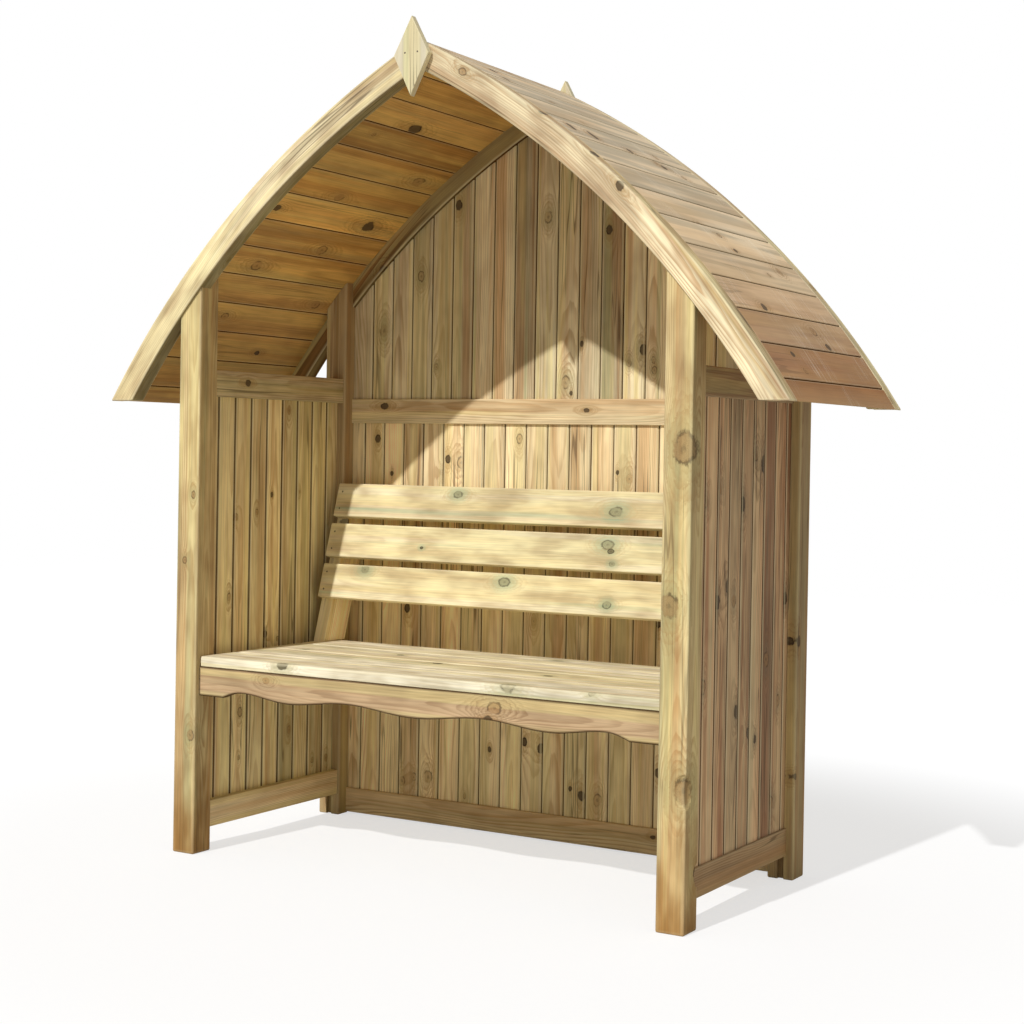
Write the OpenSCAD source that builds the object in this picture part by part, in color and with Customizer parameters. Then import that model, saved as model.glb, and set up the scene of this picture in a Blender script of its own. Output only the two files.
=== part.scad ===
// Seated garden arbour: a softwood bench under a pointed, boat-shaped roof.
// X runs across the arbour, Y from front to back, Z upwards, in millimetres.
// The origin is on the ground, in the middle of the four posts.

/* [Frame] */
// Width over the outer faces of the posts
frame_w = 1480; // [1200:10:1900]
// Depth over the outer faces of the posts
frame_d = 706; // [600:2:900]
// Side of the square posts
post_s = 70; // [60:1:95]
// Width of the panel groove in the posts
groove_w = 18; // [17:0.5:24]
// Depth of the panel groove in the posts and rails
groove_deep = 10; // [5:0.5:18]

/* [Roof] */
// Width over the eaves
roof_w = 1944; // [1700:4:2400]
// Height of the eaves' level cut
eave_h = 1184; // [1000:2:1230]
// Height of the outer roof line at the ridge
apex_h = 2053; // [1900:1:2300]
// Radius of the outer roof line on each side
arch_r = 2380; // [1700:10:3200]
// Depth of the curved rafters, square to the curve
rafter_d = 62; // [45:1:90]
// Thickness of the rafters, front to back
rafter_t = 46; // [36:1:60]
// How far a rafter stands proud of the posts' outer face
rafter_proud = 8; // [0:1:20]
// Thickness of the roof boards
deck_t = 14; // [10:1:20]
// Width that each roof board covers
deck_cover = 97; // [70:1:140]
// Depth of the chamfers that mark the roof board joints
deck_v = 2; // [1:0.5:3]

/* [Finials] */
// Width of the diamond finials
finial_w = 100; // [70:1:140]
// Height of the finial's point above the ridge
finial_up = 52; // [30:1:100]
// Drop of the finial's widest line below the ridge
finial_mid = 40; // [20:1:60]
// Drop of the finial's lower point below the ridge
finial_down = 140; // [90:1:180]
// Thickness of the finials
finial_t = 20; // [14:1:30]
// How much lower the back finial is fixed than the front one
finial_back_drop = 20; // [0:1:40]
// How far left of the ridge the front finial is fixed
finial_off = 6; // [0:1:15]

/* [Rails] */
// Height of every rail
rail_h = 70; // [50:1:95]
// Thickness of the side rails
side_rail_t = 44; // [34:1:50]
// Set-back of the side rails from the posts' inner face
side_rail_in = 6; // [0:1:12]
// Clear height under the side panels
side_low = 60; // [20:1:120]
// Height of the top of the side panels
side_top = 1267; // [1100:1:1300]
// Thickness of the back rails
back_rail_t = 34; // [30:1:38]
// Clear height under the back panel
back_low = 5; // [2:1:60]
// Height of the underside of the middle back rail
back_mid = 1140; // [1000:1:1250]

/* [Panels] */
// Thickness of the tongued and grooved boards
board_t = 16; // [12:0.5:16.5]
// Width that each panel board covers
board_cover = 68; // [50:1:120]
// Depth of the chamfers that mark the board joints
joint_v = 4; // [1:0.5:5]
// Width of the board beside the front post that shows in the left panel
left_first = 41; // [10:1:68]
// Width of the board beside the front post that shows in the right panel
right_first = 65; // [10:1:68]
// Width of the left-hand board that shows in the lower back panel
back_first = 41; // [10:1:68]
// Width of the left-hand board that shows in the gable
gable_first = 64; // [10:1:68]

/* [Seat] */
// Height of the top of the seat
seat_h = 517; // [400:1:560]
// Set-back of the seat's front edge from the posts' outer face
seat_in = 15; // [5:1:40]
// Clear space between the rearmost seat slat and the back boards
seat_behind = 103; // [60:1:130]
// Gap between seat slats
slat_gap = 5; // [3:0.5:8]
// Thickness of a seat slat
slat_t = 26; // [20:1:34]
// Radius of the seat slats' long edges
slat_r = 5; // [2:0.5:8]
// Depth of the front apron
apron_h = 77; // [60:1:110]
// Thickness of the front apron
apron_t = 22; // [16:1:30]
// Height of the scallops cut in the apron's lower edge
scallop_h = 16; // [8:1:24]
// Width of a seat bearer
bearer_w = 44; // [34:1:60]
// Height of a seat bearer
bearer_h = 62; // [45:1:75]

/* [Backrest] */
// Lean of the backrest from the vertical, in degrees
rest_lean = 17; // [8:1:20]
// Distance from the front of the supports' feet to the back boards
rest_behind = 178; // [160:1:220]
// Width of a backrest slat
rest_slat_w = 98; // [80:1:105]
// Gap between backrest slats
rest_slat_gap = 21; // [12:1:26]
// Thickness of a backrest slat
rest_slat_t = 25; // [18:1:32]
// Distance along the support from the seat to the lowest slat
rest_start = 125; // [90:1:150]
// Width of a backrest support, across the arbour
support_w = 38; // [30:1:50]
// Depth of a backrest support, front to back
support_d = 95; // [70:1:110]
// Length of a support past the top slat
support_past = -12; // [-30:1:20]

/* [Hidden] */

half_w = frame_w / 2;
half_d = frame_d / 2;
inner_x = half_w - post_s;
inner_y = half_d - post_s;
slat_n = 4;             // seat slats
rest_n = 3;             // backrest slats
fit = 0.5;              // clearance of a tongue in its groove
eps = 0.01;             // overrun of a cut past a face

// The roof line on the right is an arc through the ridge and the eave, with its centre on the left.
chord = [roof_w / 2, eave_h - apex_h];
chord_len = norm(chord);
centre_off = sqrt(arch_r * arch_r - chord_len * chord_len / 4);
arch_x = chord[0] / 2 + centre_off * chord[1] / chord_len;
arch_z = (apex_h + eave_h) / 2 - centre_off * chord[0] / chord_len;
ridge_angle = acos(-arch_x / arch_r);
eave_angle = asin((eave_h - arch_z) / arch_r);
cover_angle = deck_cover / arch_r * 180 / PI;
deck_n = ceil((ridge_angle - eave_angle) / cover_angle);
rafter_y = half_d + rafter_proud - rafter_t;    // inner face of the rafters
deck_clear = 1;                                 // play between post tops and roof boards

side_rail_x = inner_x + side_rail_in;
post_groove = (post_s - groove_w) / 2;
side_board_x = half_w - post_s / 2;             // middle of the side boards
back_rail_y = half_d - back_rail_t;
back_board_y = half_d - back_rail_t / 2;        // middle of the back boards
mid_top = back_mid + rail_h;

seat_front = -half_d + seat_in;
bearer_front = seat_front + apron_t;
bearer_back = back_board_y - board_t / 2;
seat_back = bearer_back - seat_behind;
slat_w = (seat_back - seat_front - (slat_n - 1) * slat_gap) / slat_n;
slat_pitch = slat_w + slat_gap;
seat_len = 2 * inner_x;
seat_under = seat_h - slat_t;
rest_pitch = rest_slat_w + rest_slat_gap;
support_len = rest_start + rest_n * rest_pitch - rest_slat_gap + support_past;

deal = "#d9bd85";       // planed face in the light
deal_pale = "#e4d3a0";  // seat and backrest
deal_warm = "#b58a52";  // boards inside
deal_grey = "#a88a62";  // side faces
deck_tone = "#b08763";  // roof boards

// ---- shapes shared by several pieces ----

// Copies its child to the left (-1) or the right (+1).
module on_side(side) {
    mirror([side < 0 ? 1 : 0, 0, 0]) children();
}

// Copies its child to the front (-1) or the back (+1).
module on_end(end) {
    mirror([0, end < 0 ? 1 : 0, 0]) children();
}

// Extrudes an outline drawn in X and Z from y0 to y1.
module slab_y(y0, y1) {
    translate([0, y1, 0]) rotate([90, 0, 0]) linear_extrude(y1 - y0) children();
}

// Extrudes an outline drawn in Y and Z from x0 to x1.
module slab_x(x0, x1) {
    translate([x0, 0, 0]) rotate([90, 0, 90]) linear_extrude(x1 - x0) children();
}

// Everything under the right-hand roof arc, let down by drop.
module under_arch(drop) {
    translate([arch_x, arch_z]) circle(r = arch_r - drop, $fn = 720);
}

// Everything under both roof arcs, let down by drop.
module under_vault(drop) {
    intersection() {
        under_arch(drop);
        mirror([1, 0]) under_arch(drop);
    }
}

// Outline of a run of boards seen on end, from a to b, with a chamfered joint on both faces.
function board_run(a, b, first) = [
    for (x = [first : board_cover : b]) if (x > a + 2 * joint_v && x < b - 2 * joint_v) x
];

module boards_plan(a, b, first) {
    joints = board_run(a, b, first);
    face = board_t / 2;
    upper = [for (x = joints) each [[x - joint_v, face], [x, face - joint_v], [x + joint_v, face]]];
    lower = [for (i = [len(upper) - 1 : -1 : 0]) [upper[i][0], -upper[i][1]]];
    polygon(concat([[a, face]], upper, [[b, face], [b, -face]], lower, [[a, -face]]));
}

// ---- posts ----

// A back right post: it stops under the rafter, and its inner part rises behind it to the roof.
module post_blank() {
    slab_y(rafter_y, half_d) intersection() {
        translate([inner_x, 0]) square([post_s, apex_h]);
        under_arch(rafter_d);
    }
    slab_y(inner_y, rafter_y) intersection() {
        translate([inner_x, 0]) square([post_s, apex_h]);
        under_arch(deck_t + deck_clear);
    }
}

// Groove for the side panel, in the face that looks along the side. It runs out at the foot.
module side_groove() {
    translate([inner_x + post_groove, inner_y - eps, -eps])
        cube([groove_w, groove_deep + eps, side_top + eps]);
}

// Groove for the back panel, in the face that looks along the back.
module back_groove() {
    translate([inner_x - eps, back_board_y - groove_w / 2, -eps])
        cube([groove_deep + eps, groove_w, apex_h]);
}

module front_post(side) {
    color(deal) on_side(side) on_end(-1) difference() {
        post_blank();
        side_groove();
    }
}

module back_post(side) {
    color(deal_grey) on_side(side) difference() {
        post_blank();
        side_groove();
        back_groove();
    }
}

// ---- side panels ----

// A side rail with a tongue on each end for the posts' grooves.
// groove_z is -1 where the boards enter from below, and +1 where they enter from above.
module side_rail(side, z, groove_z) {
    tongue_x = side_board_x - groove_w / 2 + fit;
    board_z = groove_z > 0 ? z + rail_h - groove_deep : z - eps;
    color(deal_warm) on_side(side) difference() {
        union() {
            translate([side_rail_x, -inner_y, z]) cube([side_rail_t, 2 * inner_y, rail_h]);
            translate([tongue_x, -inner_y - groove_deep + fit, z])
                cube([groove_w - 2 * fit, 2 * (inner_y + groove_deep - fit), rail_h]);
        }
        translate([side_board_x - groove_w / 2, -inner_y - groove_deep, board_z])
            cube([groove_w, 2 * (inner_y + groove_deep), groove_deep + eps]);
    }
}

module side_panel(side, first) {
    reach = inner_y + groove_deep - fit;
    low = side_low + rail_h - groove_deep;
    high = side_top - rail_h + groove_deep;
    color(deal_warm) on_side(side) translate([side_board_x, 0, low])
        rotate([0, 0, 90]) linear_extrude(high - low) boards_plan(-reach, reach, first - inner_y);
}

// ---- back panel ----

// A back rail with tongues for the posts and grooves for the boards above and below it.
module back_rail(z, groove_under) {
    reach = inner_x + groove_deep - fit;
    color(deal_warm) difference() {
        union() {
            translate([-inner_x, back_rail_y, z]) cube([2 * inner_x, back_rail_t, rail_h]);
            translate([-reach, back_board_y - groove_w / 2 + fit, z])
                cube([2 * reach, groove_w - 2 * fit, rail_h]);
        }
        translate([-reach - eps, back_board_y - groove_w / 2, z + rail_h - groove_deep])
            cube([2 * (reach + eps), groove_w, groove_deep + eps]);
        if (groove_under) translate([-reach - eps, back_board_y - groove_w / 2, z - eps])
            cube([2 * (reach + eps), groove_w, groove_deep + eps]);
    }
}

module back_boards(low, high, first) {
    reach = inner_x + groove_deep - fit;
    translate([0, back_board_y, low]) linear_extrude(high - low) boards_plan(-reach, reach, first - inner_x);
}

module back_lower_panel() {
    color(deal_warm) back_boards(back_low + rail_h - groove_deep, back_mid + groove_deep, back_first);
}

// The gable boards are cut to the underside of the back rafters.
module back_gable_panel() {
    color(deal_warm) intersection() {
        back_boards(mid_top - groove_deep, apex_h, gable_first);
        slab_y(inner_y, half_d) under_vault(rafter_d);
    }
}

// ---- roof ----

// A rafter is sawn to the arc, plumb at the ridge and level at the eave.
module rafter(side, end) {
    color(deal) on_side(side) on_end(end) slab_y(rafter_y, rafter_y + rafter_t) intersection() {
        difference() {
            under_arch(0);
            under_arch(rafter_d);
        }
        translate([0, eave_h]) square([roof_w, apex_h]);
    }
}

// Point on the roof line at an angle above the arc's centre, let down by drop.
function arch_point(angle, drop) = [
    arch_x + (arch_r - drop) * cos(angle),
    arch_z + (arch_r - drop) * sin(angle)
];

// One face of the roof boards from ridge to eave, let down by drop. The boards are flat, so the line
// follows the arc in straight steps, with a chamfered notch reaching v past the face at each joint.
function deck_face(drop, v) = [
    for (i = [0 : deck_n - 1])
        let (
            a = arch_point(ridge_angle - i * cover_angle, drop),
            b = arch_point(ridge_angle - (i + 1) * cover_angle, drop),
            step = (b - a) * abs(v) / deck_cover
        )
        each [i == 0 ? a : a + step, b - step, arch_point(ridge_angle - (i + 1) * cover_angle, drop + v)]
];

module roof_deck(side) {
    top = deck_face(0, deck_v);
    under = deck_face(deck_t, -deck_v);
    color(deck_tone) on_side(side) slab_y(-rafter_y, rafter_y) intersection() {
        polygon(concat(top, [for (i = [len(under) - 1 : -1 : 0]) under[i]]));
        translate([0, eave_h]) square([roof_w, apex_h]);
    }
}

module finial(end, drop, off) {
    ridge = apex_h - drop;
    color(deal_pale) on_end(end) slab_y(rafter_y + rafter_t, rafter_y + rafter_t + finial_t)
        translate([-off, 0]) polygon([
            [0, ridge + finial_up],
            [finial_w / 2, ridge - finial_mid],
            [0, ridge - finial_down],
            [-finial_w / 2, ridge - finial_mid]
        ]);
}

// ---- seat ----

// Section of a board in Y and Z with rounded upper long edges, its lower front corner at the origin.
module eased_section(w, t, r) {
    union() {
        square([w, t - r]);
        translate([r, 0]) square([w - 2 * r, t]);
        for (y = [r, w - r]) translate([y, t - r]) circle(r = r, $fn = 32);
    }
}

module seat_slat(i) {
    color(deal_pale) slab_x(-seat_len / 2, seat_len / 2)
        translate([seat_front + (i - 1) * slat_pitch, seat_under]) eased_section(slat_w, slat_t, slat_r);
}

// The apron's lower edge: its turning points as [share of half the length, share of the scallop height].
apron_turns = [[0, 0], [0.296, 1], [0.569, 0.05], [0.791, 1]];
apron_tab = 0.881;      // share of half the length at which the end tab begins
wave_steps = 10;

function half_wave(p, q, t) = [p[0] + (q[0] - p[0]) * t, (p[1] + q[1]) / 2 + (p[1] - q[1]) / 2 * cos(180 * t)];

function apron_edge() = concat(
    [for (k = [0 : len(apron_turns) - 2], s = [0 : wave_steps - 1])
        half_wave(apron_turns[k], apron_turns[k + 1], s / wave_steps)],
    [for (s = [0 : wave_steps])
        let (last = apron_turns[len(apron_turns) - 1], t = s / wave_steps)
        [last[0] + (apron_tab - last[0]) * t, cos(90 * t)]],
    [[1, 0]]
);

module seat_apron() {
    half = seat_len / 2;
    low = seat_under - apron_h;
    right = [for (p = apron_edge()) [p[0] * half, low + p[1] * scallop_h]];
    left = [for (i = [len(right) - 1 : -1 : 1]) [-right[i][0], right[i][1]]];
    color(deal) slab_y(seat_front, seat_front + apron_t)
        polygon(concat([[-half, seat_under]], left, right, [[half, seat_under]]));
}

module side_seat_bearer(side) {
    color(deal_grey) on_side(side) translate([inner_x - bearer_w, bearer_front, seat_under - bearer_h])
        cube([bearer_w, bearer_back - bearer_front, bearer_h]);
}

module back_seat_bearer() {
    color(deal_grey) translate([-inner_x + bearer_w, seat_back - bearer_w, seat_under - bearer_h])
        cube([2 * (inner_x - bearer_w), bearer_w, bearer_h]);
}

module middle_seat_bearer() {
    color(deal_grey) translate([-bearer_w / 2, bearer_front, seat_under - bearer_h])
        cube([bearer_w, seat_back - bearer_w - bearer_front, bearer_h]);
}

// ---- backrest ----

// Turns a section drawn along the support, with the front of its foot at the origin, to the backrest's lean.
module leaning() {
    translate([bearer_back - rest_behind, seat_h]) rotate(-rest_lean) children();
}

// A leaning board, level at the foot on the seat and cut plumb against the back boards.
module back_support(side) {
    color(deal_grey) on_side(side) slab_x(inner_x - support_w, inner_x) intersection() {
        leaning() translate([0, -support_d]) square([support_d, support_len + support_d]);
        translate([-half_d, seat_h]) square([half_d + bearer_back, apex_h]);
    }
}

module back_slat(i) {
    color(deal_pale) slab_x(-seat_len / 2, seat_len / 2)
        leaning() translate([-rest_slat_t, rest_start + (rest_n - i) * rest_pitch])
            square([rest_slat_t, rest_slat_w]);
}

front_post(-1);  // front_left_post
front_post(1);  // front_right_post
back_post(-1);  // back_left_post
back_post(1);  // back_right_post
side_rail(-1, side_low, 1);  // left_bottom_rail
side_rail(1, side_low, 1);  // right_bottom_rail
side_rail(-1, side_top - rail_h, -1);  // left_top_rail
side_rail(1, side_top - rail_h, -1);  // right_top_rail
side_panel(-1, left_first);  // left_panel
side_panel(1, right_first);  // right_panel
back_rail(back_low, false);  // back_bottom_rail
back_rail(back_mid, true);  // back_mid_rail
back_lower_panel();
back_gable_panel();
rafter(-1, -1);  // front_left_rafter
rafter(1, -1);  // front_right_rafter
rafter(-1, 1);  // back_left_rafter
rafter(1, 1);  // back_right_rafter
roof_deck(-1);  // left_roof_deck
roof_deck(1);  // right_roof_deck
finial(-1, 0, finial_off);  // front_finial
finial(1, finial_back_drop, 0);  // back_finial
seat_slat(1);  // seat_slat_1
seat_slat(2);  // seat_slat_2
seat_slat(3);  // seat_slat_3
seat_slat(4);  // seat_slat_4
seat_apron();
side_seat_bearer(-1);  // left_seat_bearer
side_seat_bearer(1);  // right_seat_bearer
middle_seat_bearer();
back_seat_bearer();
back_support(-1);  // left_back_support
back_support(1);  // right_back_support
back_slat(1);  // back_slat_1
back_slat(2);  // back_slat_2
back_slat(3);  // back_slat_3
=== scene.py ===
"""Visual model of a seated garden arbour in planed and pressure-treated pine.

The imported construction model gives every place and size. Each of its nodes is stood for by a piece
whose timbers are modelled one by one: a section is carried along a straight or curved line, so that
every timber has eased arrises, real joints and its own grain. The grain is a solid pattern, worked out
from how far a point lies from the pith of the log that its timber was sawn from.
"""

from __future__ import annotations

import logging
import math
from dataclasses import dataclass
from enum import Enum
from functools import reduce
from typing import Callable, Iterable, Sequence, Union

import bpy
import numpy as np
from mathutils import Matrix, Vector

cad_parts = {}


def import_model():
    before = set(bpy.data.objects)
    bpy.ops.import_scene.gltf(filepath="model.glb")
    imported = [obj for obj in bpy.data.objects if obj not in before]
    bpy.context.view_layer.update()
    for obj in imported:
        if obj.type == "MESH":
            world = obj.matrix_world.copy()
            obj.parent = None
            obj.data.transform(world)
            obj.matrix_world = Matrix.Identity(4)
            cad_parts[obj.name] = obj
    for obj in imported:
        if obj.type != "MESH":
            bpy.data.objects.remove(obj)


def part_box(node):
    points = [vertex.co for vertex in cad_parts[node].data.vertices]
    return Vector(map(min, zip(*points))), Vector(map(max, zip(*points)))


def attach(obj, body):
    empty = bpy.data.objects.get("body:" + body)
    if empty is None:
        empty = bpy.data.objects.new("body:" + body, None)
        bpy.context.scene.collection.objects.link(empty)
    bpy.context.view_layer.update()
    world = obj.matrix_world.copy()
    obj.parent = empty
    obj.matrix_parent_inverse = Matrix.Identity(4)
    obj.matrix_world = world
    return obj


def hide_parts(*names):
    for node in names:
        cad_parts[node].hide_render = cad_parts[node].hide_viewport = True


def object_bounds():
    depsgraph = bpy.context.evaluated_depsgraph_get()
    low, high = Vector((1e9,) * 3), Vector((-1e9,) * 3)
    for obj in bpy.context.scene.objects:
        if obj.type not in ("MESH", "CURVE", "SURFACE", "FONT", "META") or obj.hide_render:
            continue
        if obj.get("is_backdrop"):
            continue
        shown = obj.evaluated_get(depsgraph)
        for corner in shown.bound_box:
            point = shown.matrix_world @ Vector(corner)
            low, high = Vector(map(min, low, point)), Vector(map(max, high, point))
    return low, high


log = logging.getLogger("arbour")

Array = np.ndarray
Cut = Union[float, Callable[[Array, Array], Array]]
Form = Callable[[Array, Array, Array], "tuple[Array, Array]"]
Place = Callable[[Array, Array, Array], Array]
Row = tuple[float, float, float, float, float]
Spot = tuple[float, float, float]

KNOT_SLOTS = 4                  # knots that one timber can carry
GROOVE = 0.018                  # width of the grooves that hold the boards
GROOVE_DEEP = 0.010
TONGUE = 0.017                  # thickness of the tongues on the rails' ends
RAFTER_DEEP = 0.062
WORN_AND_LIT = 0.7                      # where the rounding of an arris begins: how worn it is, with a painted highlight
HAIR = 1e-6                     # apart enough for two points to make a step
REACH = 0.004                   # how far the worn strip with its painted highlight runs in from an arris
SAWN = (0.0025, 0.0025)         # rounding of both ends of a timber
END_GAP = 0.0005                # how far a slat's ends stay inside its node
NOWHERE = -1000.0               # so far along the log that a knot isn't seen


class Side(Enum):
    """Left or right, seen from the front, as a sign on X."""

    LEFT = -1
    RIGHT = 1


class End(Enum):
    """Front or back, as a sign on Y."""

    FRONT = -1
    BACK = 1


class Face(Enum):
    """The four faces of a rectangular section, in order round it: outward direction and running direction."""

    UNDER = ((0.0, -1.0), (1.0, 0.0))
    RIGHT = ((1.0, 0.0), (0.0, 1.0))
    OVER = ((0.0, 1.0), (-1.0, 0.0))
    LEFT = ((-1.0, 0.0), (0.0, -1.0))


# ---------------------------------------------------------------- timbers


@dataclass(frozen=True)
class Knot:
    """A branch in a timber, given by the point where its middle comes out at the surface.

    The point is (across, through) in the section and along the timber; radius is that of the knot itself.
    A dead knot is dark, with a black ring of bark; a live one has grown into the wood.
    """

    along: float
    across: float
    through: float
    radius: float
    dead: bool = False

    def root(self, middle: float, width: float, depth: float, below: float) -> Array:
        """Where its branch starts: straight in from the face that it comes out of, or slantwise from an arris.

        Args:
            middle: where the section's middle lies across.
            width, depth: the section's size.
            below: how deep the branch starts.

        Returns:
            The place (across, through).
        """
        out = np.array(((self.across - middle) / width, self.through / depth)) * 2
        out = np.where(np.abs(out) > 0.9, np.sign(out), 0.0)
        return np.array((self.across, self.through)) - below * out / max(float(np.linalg.norm(out)), 1.0)


@dataclass(frozen=True)
class Timber:
    """What makes one timber unlike the next: where it was sawn from the log, its tone and its knots."""

    pith: tuple[float, float] = (0.02, -0.09)
    shift: float = 0.0
    tone: float = 0.0
    hue: float = 0.0
    weather: float = 0.0
    knots: tuple[Knot, ...] = ()

    def knot_rows(self) -> Array:
        """Write the knots down as the finish reads them.

        A dead knot's direction has a full turn added to it, which is how the finish knows it.

        Returns:
            Rows of (direction from the pith, place along the log, radius), padded with empty ones.
        """
        rows = np.zeros((KNOT_SLOTS, 3))
        rows[:, 1] = NOWHERE
        for i, knot in enumerate(self.knots[:KNOT_SLOTS]):
            turn = math.atan2(knot.through - self.pith[1], knot.across - self.pith[0])
            rows[i] = (turn + 2 * math.pi * knot.dead, knot.along + self.shift, knot.radius)
        return rows


class Sawmill:
    """Gives out timbers in a fixed random order, so that no two boards show the same grain."""

    def __init__(self, seed: int) -> None:
        """Start the order from a seed."""
        self._rng = np.random.default_rng(seed)

    def spread(self, amount: float) -> float:
        """A length up to amount, for the small unevenness of handwork."""
        return abs(float(self._rng.uniform(-amount, amount)))

    def timber(
        self,
        width: float,
        depth: float,
        lo: float,
        hi: float,
        knots: float = 1.0,
        radius: tuple[float, float] = (0.005, 0.012),
        node: str = "",
        *,
        placed: Sequence[Knot] | None = None,
        look: tuple[float, float] | None = None,
        weather: float = 0.0,
        middle: float = 0.0,
        core: float = 0.0,
    ) -> Timber:
        """Saw one timber. Where its knots are known it has no others.

        Args:
            width, depth: size of the section across and through.
            lo, hi: where the timber begins and ends along its length.
            knots: how many knots it has for each metre, on average.
            radius: least and greatest radius of those knots.
            node: the construction node whose known knots and look it takes.
            placed: its knots at known places, where they aren't the node's.
            look: its tone and hue, where they aren't the node's.
            weather: how grey its exposed face has become, from 0 to 1.
            middle: where the middle of its section lies across.
            core: how deep the pith lies under the known knots, or 0 for any depth.

        Returns:
            The timber, with a pith place, a shift along the log and a tone of its own.
        """
        rng = self._rng
        below = -1.0 if rng.random() < 0.5 else 1.0
        pith = (middle + float(rng.normal(0.0, 0.6 * width)), below * float(rng.uniform(0.03, 0.11)))
        found = list(KNOTS.get(node, ()) if placed is None else placed)
        deep = core or float(rng.uniform(0.045, 0.09))
        if found:
            pith = tuple(np.mean([k.root(middle, width, depth, deep) for k in found], axis=0))
        for _ in range(0 if found else int(rng.poisson(knots * (hi - lo)))):
            along = float(rng.uniform(lo, hi))
            across = middle + float(rng.uniform(-0.42, 0.42)) * width
            size, dead = float(rng.uniform(*radius)), bool(rng.random() < 0.45)
            found.append(Knot(along, across, -below * depth / 2, size, dead))
        chance = float(rng.normal(0.0, 0.65)), float(rng.normal(0.0, 0.6))
        shift = float(rng.uniform(5.0, 90.0))
        return Timber(pith, shift, *(look or LOOKS.get(node, chance)), weather, tuple(found))


# ---------------------------------------------------------------- sections


@dataclass(frozen=True)
class Section:
    """The outline of a timber seen on end, anticlockwise.

    points are (across, through); inward is how a point moves when the outline shrinks by one unit;
    The last field holds for each point how much it is a worn arris with a painted highlight, a joint or face
    darkened by dirt and painted shade, and a face out in the weather.
    """

    points: Array
    inward: Array
    wear: Array

    def shade_face(self, face: Face, amount: float) -> Section:
        """Paint shade on one of its faces.

        Args:
            face: the face.
            amount: how dark it is, from 0 to 1.

        Returns:
            A section of the same outline.
        """
        wear = self.wear.copy()
        out = self.points @ np.array(face.value[0], float)
        wear[out > out.max() - 1e-6, 1] = amount
        return Section(self.points, self.inward, wear)

    def clip(self, across: float, through: float, limit: float) -> Section:
        """Cut it by a straight line, keeping what has across * a + through * b below limit.

        Args:
            across, through: the line's outward direction.
            limit: how far out the line lies.

        Returns:
            What is left, which can't be shrunk.
        """
        points, wear = [], []
        reach = self.points @ np.array((across, through)) - limit
        for i, here in enumerate(reach):
            j = (i + 1) % len(reach)
            if here <= 0:
                points.append(self.points[i])
                wear.append(self.wear[i])
            if (here <= 0) != (reach[j] <= 0):
                t = here / (here - reach[j])
                points.append(self.points[i] + t * (self.points[j] - self.points[i]))
                wear.append(np.array((0.5, 0.0, self.wear[i][2])))
        return Section(np.array(points), np.zeros((len(points), 2)), np.array(wear))


def planed(
    width: float,
    depth: float,
    ease: float | Sequence[float] = 0.003,
    grooves: Sequence[tuple[Face, float]] = (),
    marks: Sequence[tuple[Face, float]] = (),
    fill: float = 0.0,
) -> Section:
    """A rectangular section with rounded arrises, and grooves where wanted.

    Along each face the points stand at plain distances; each corner is a quarter circle in three steps
    whose centre lies one radius inside both faces.

    Args:
        width, depth: size across and through.
        ease: radius of the arrises, or four radii for the corners after UNDER, RIGHT, OVER and LEFT.
        grooves: face and middle of each groove, measured along the face.
        marks: (face, place) of extra points.
        fill: greatest distance between points of a face, or 0 for none in between.

    Returns:
        The section.
    """
    radii = [ease] * 4 if isinstance(ease, (int, float)) else list(ease)
    points, inward, wear = [], [], []

    def put(at: Array, out: Array, arris: float, joint: float = 0.0) -> None:
        """Add one point.

        Args:
            at: its place.
            out: the direction that faces out there.
            arris, joint: how much it is a worn arris with a painted highlight, and how much dirt and painted
                shade darken it.
        """
        points.append(at)
        inward.append(-out)
        wear.append((arris, joint, 0.0))

    for i, face in enumerate(Face):
        out, run = np.array(face.value[0]), np.array(face.value[1])
        upright = face in (Face.RIGHT, Face.LEFT)
        length, offset = (depth, width / 2) if upright else (width, depth / 2)
        first, last = radii[i - 1], radii[i]
        lo, hi = -length / 2 + first, length / 2 - last
        stops = [(lo, 0.0, WORN_AND_LIT if first else 1.0, 0.0), (lo + REACH, 0.0, 0.0, 0.0)]
        stops += [(place, 0.0, 0.0, 0.0) for owner, place in marks if owner is face]
        for owner, middle in grooves:
            if owner is face:
                near, far = middle - GROOVE / 2, middle + GROOVE / 2
                # A groove's edges get a painted highlight and its floor painted shade.
                stops += [(near, 0.0, 0.6, 0.0), (near + HAIR, -GROOVE_DEEP, 0.0, 0.3)]
                stops += [(far - HAIR, -GROOVE_DEEP, 0.0, 0.3), (far, 0.0, 0.6, 0.0)]
        stops += [(hi - REACH, 0.0, 0.0, 0.0), (hi, 0.0, WORN_AND_LIT if last else 1.0, 0.0)]
        stops.sort(key=lambda stop: stop[0])
        for j, (place, rise, arris, joint) in enumerate(stops):
            put(out * (offset + rise) + run * place, out, arris, joint)
            gap = stops[j + 1][0] - place if j + 1 < len(stops) else 0.0
            steps = int(gap / fill) if fill else 0
            for k in range(1, steps + 1):
                put(out * (offset + rise) + run * (place + gap * k / (steps + 1)), out, 0.0, joint)
        if last > 0:
            centre = out * (offset - last) + run * hi
            for angle in (math.pi / 6, math.pi / 3):
                ray = out * math.cos(angle) + run * math.sin(angle)
                put(centre + last * ray, ray, 1.0)
    return Section(np.array(points), np.array(inward), np.array(wear))


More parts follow.
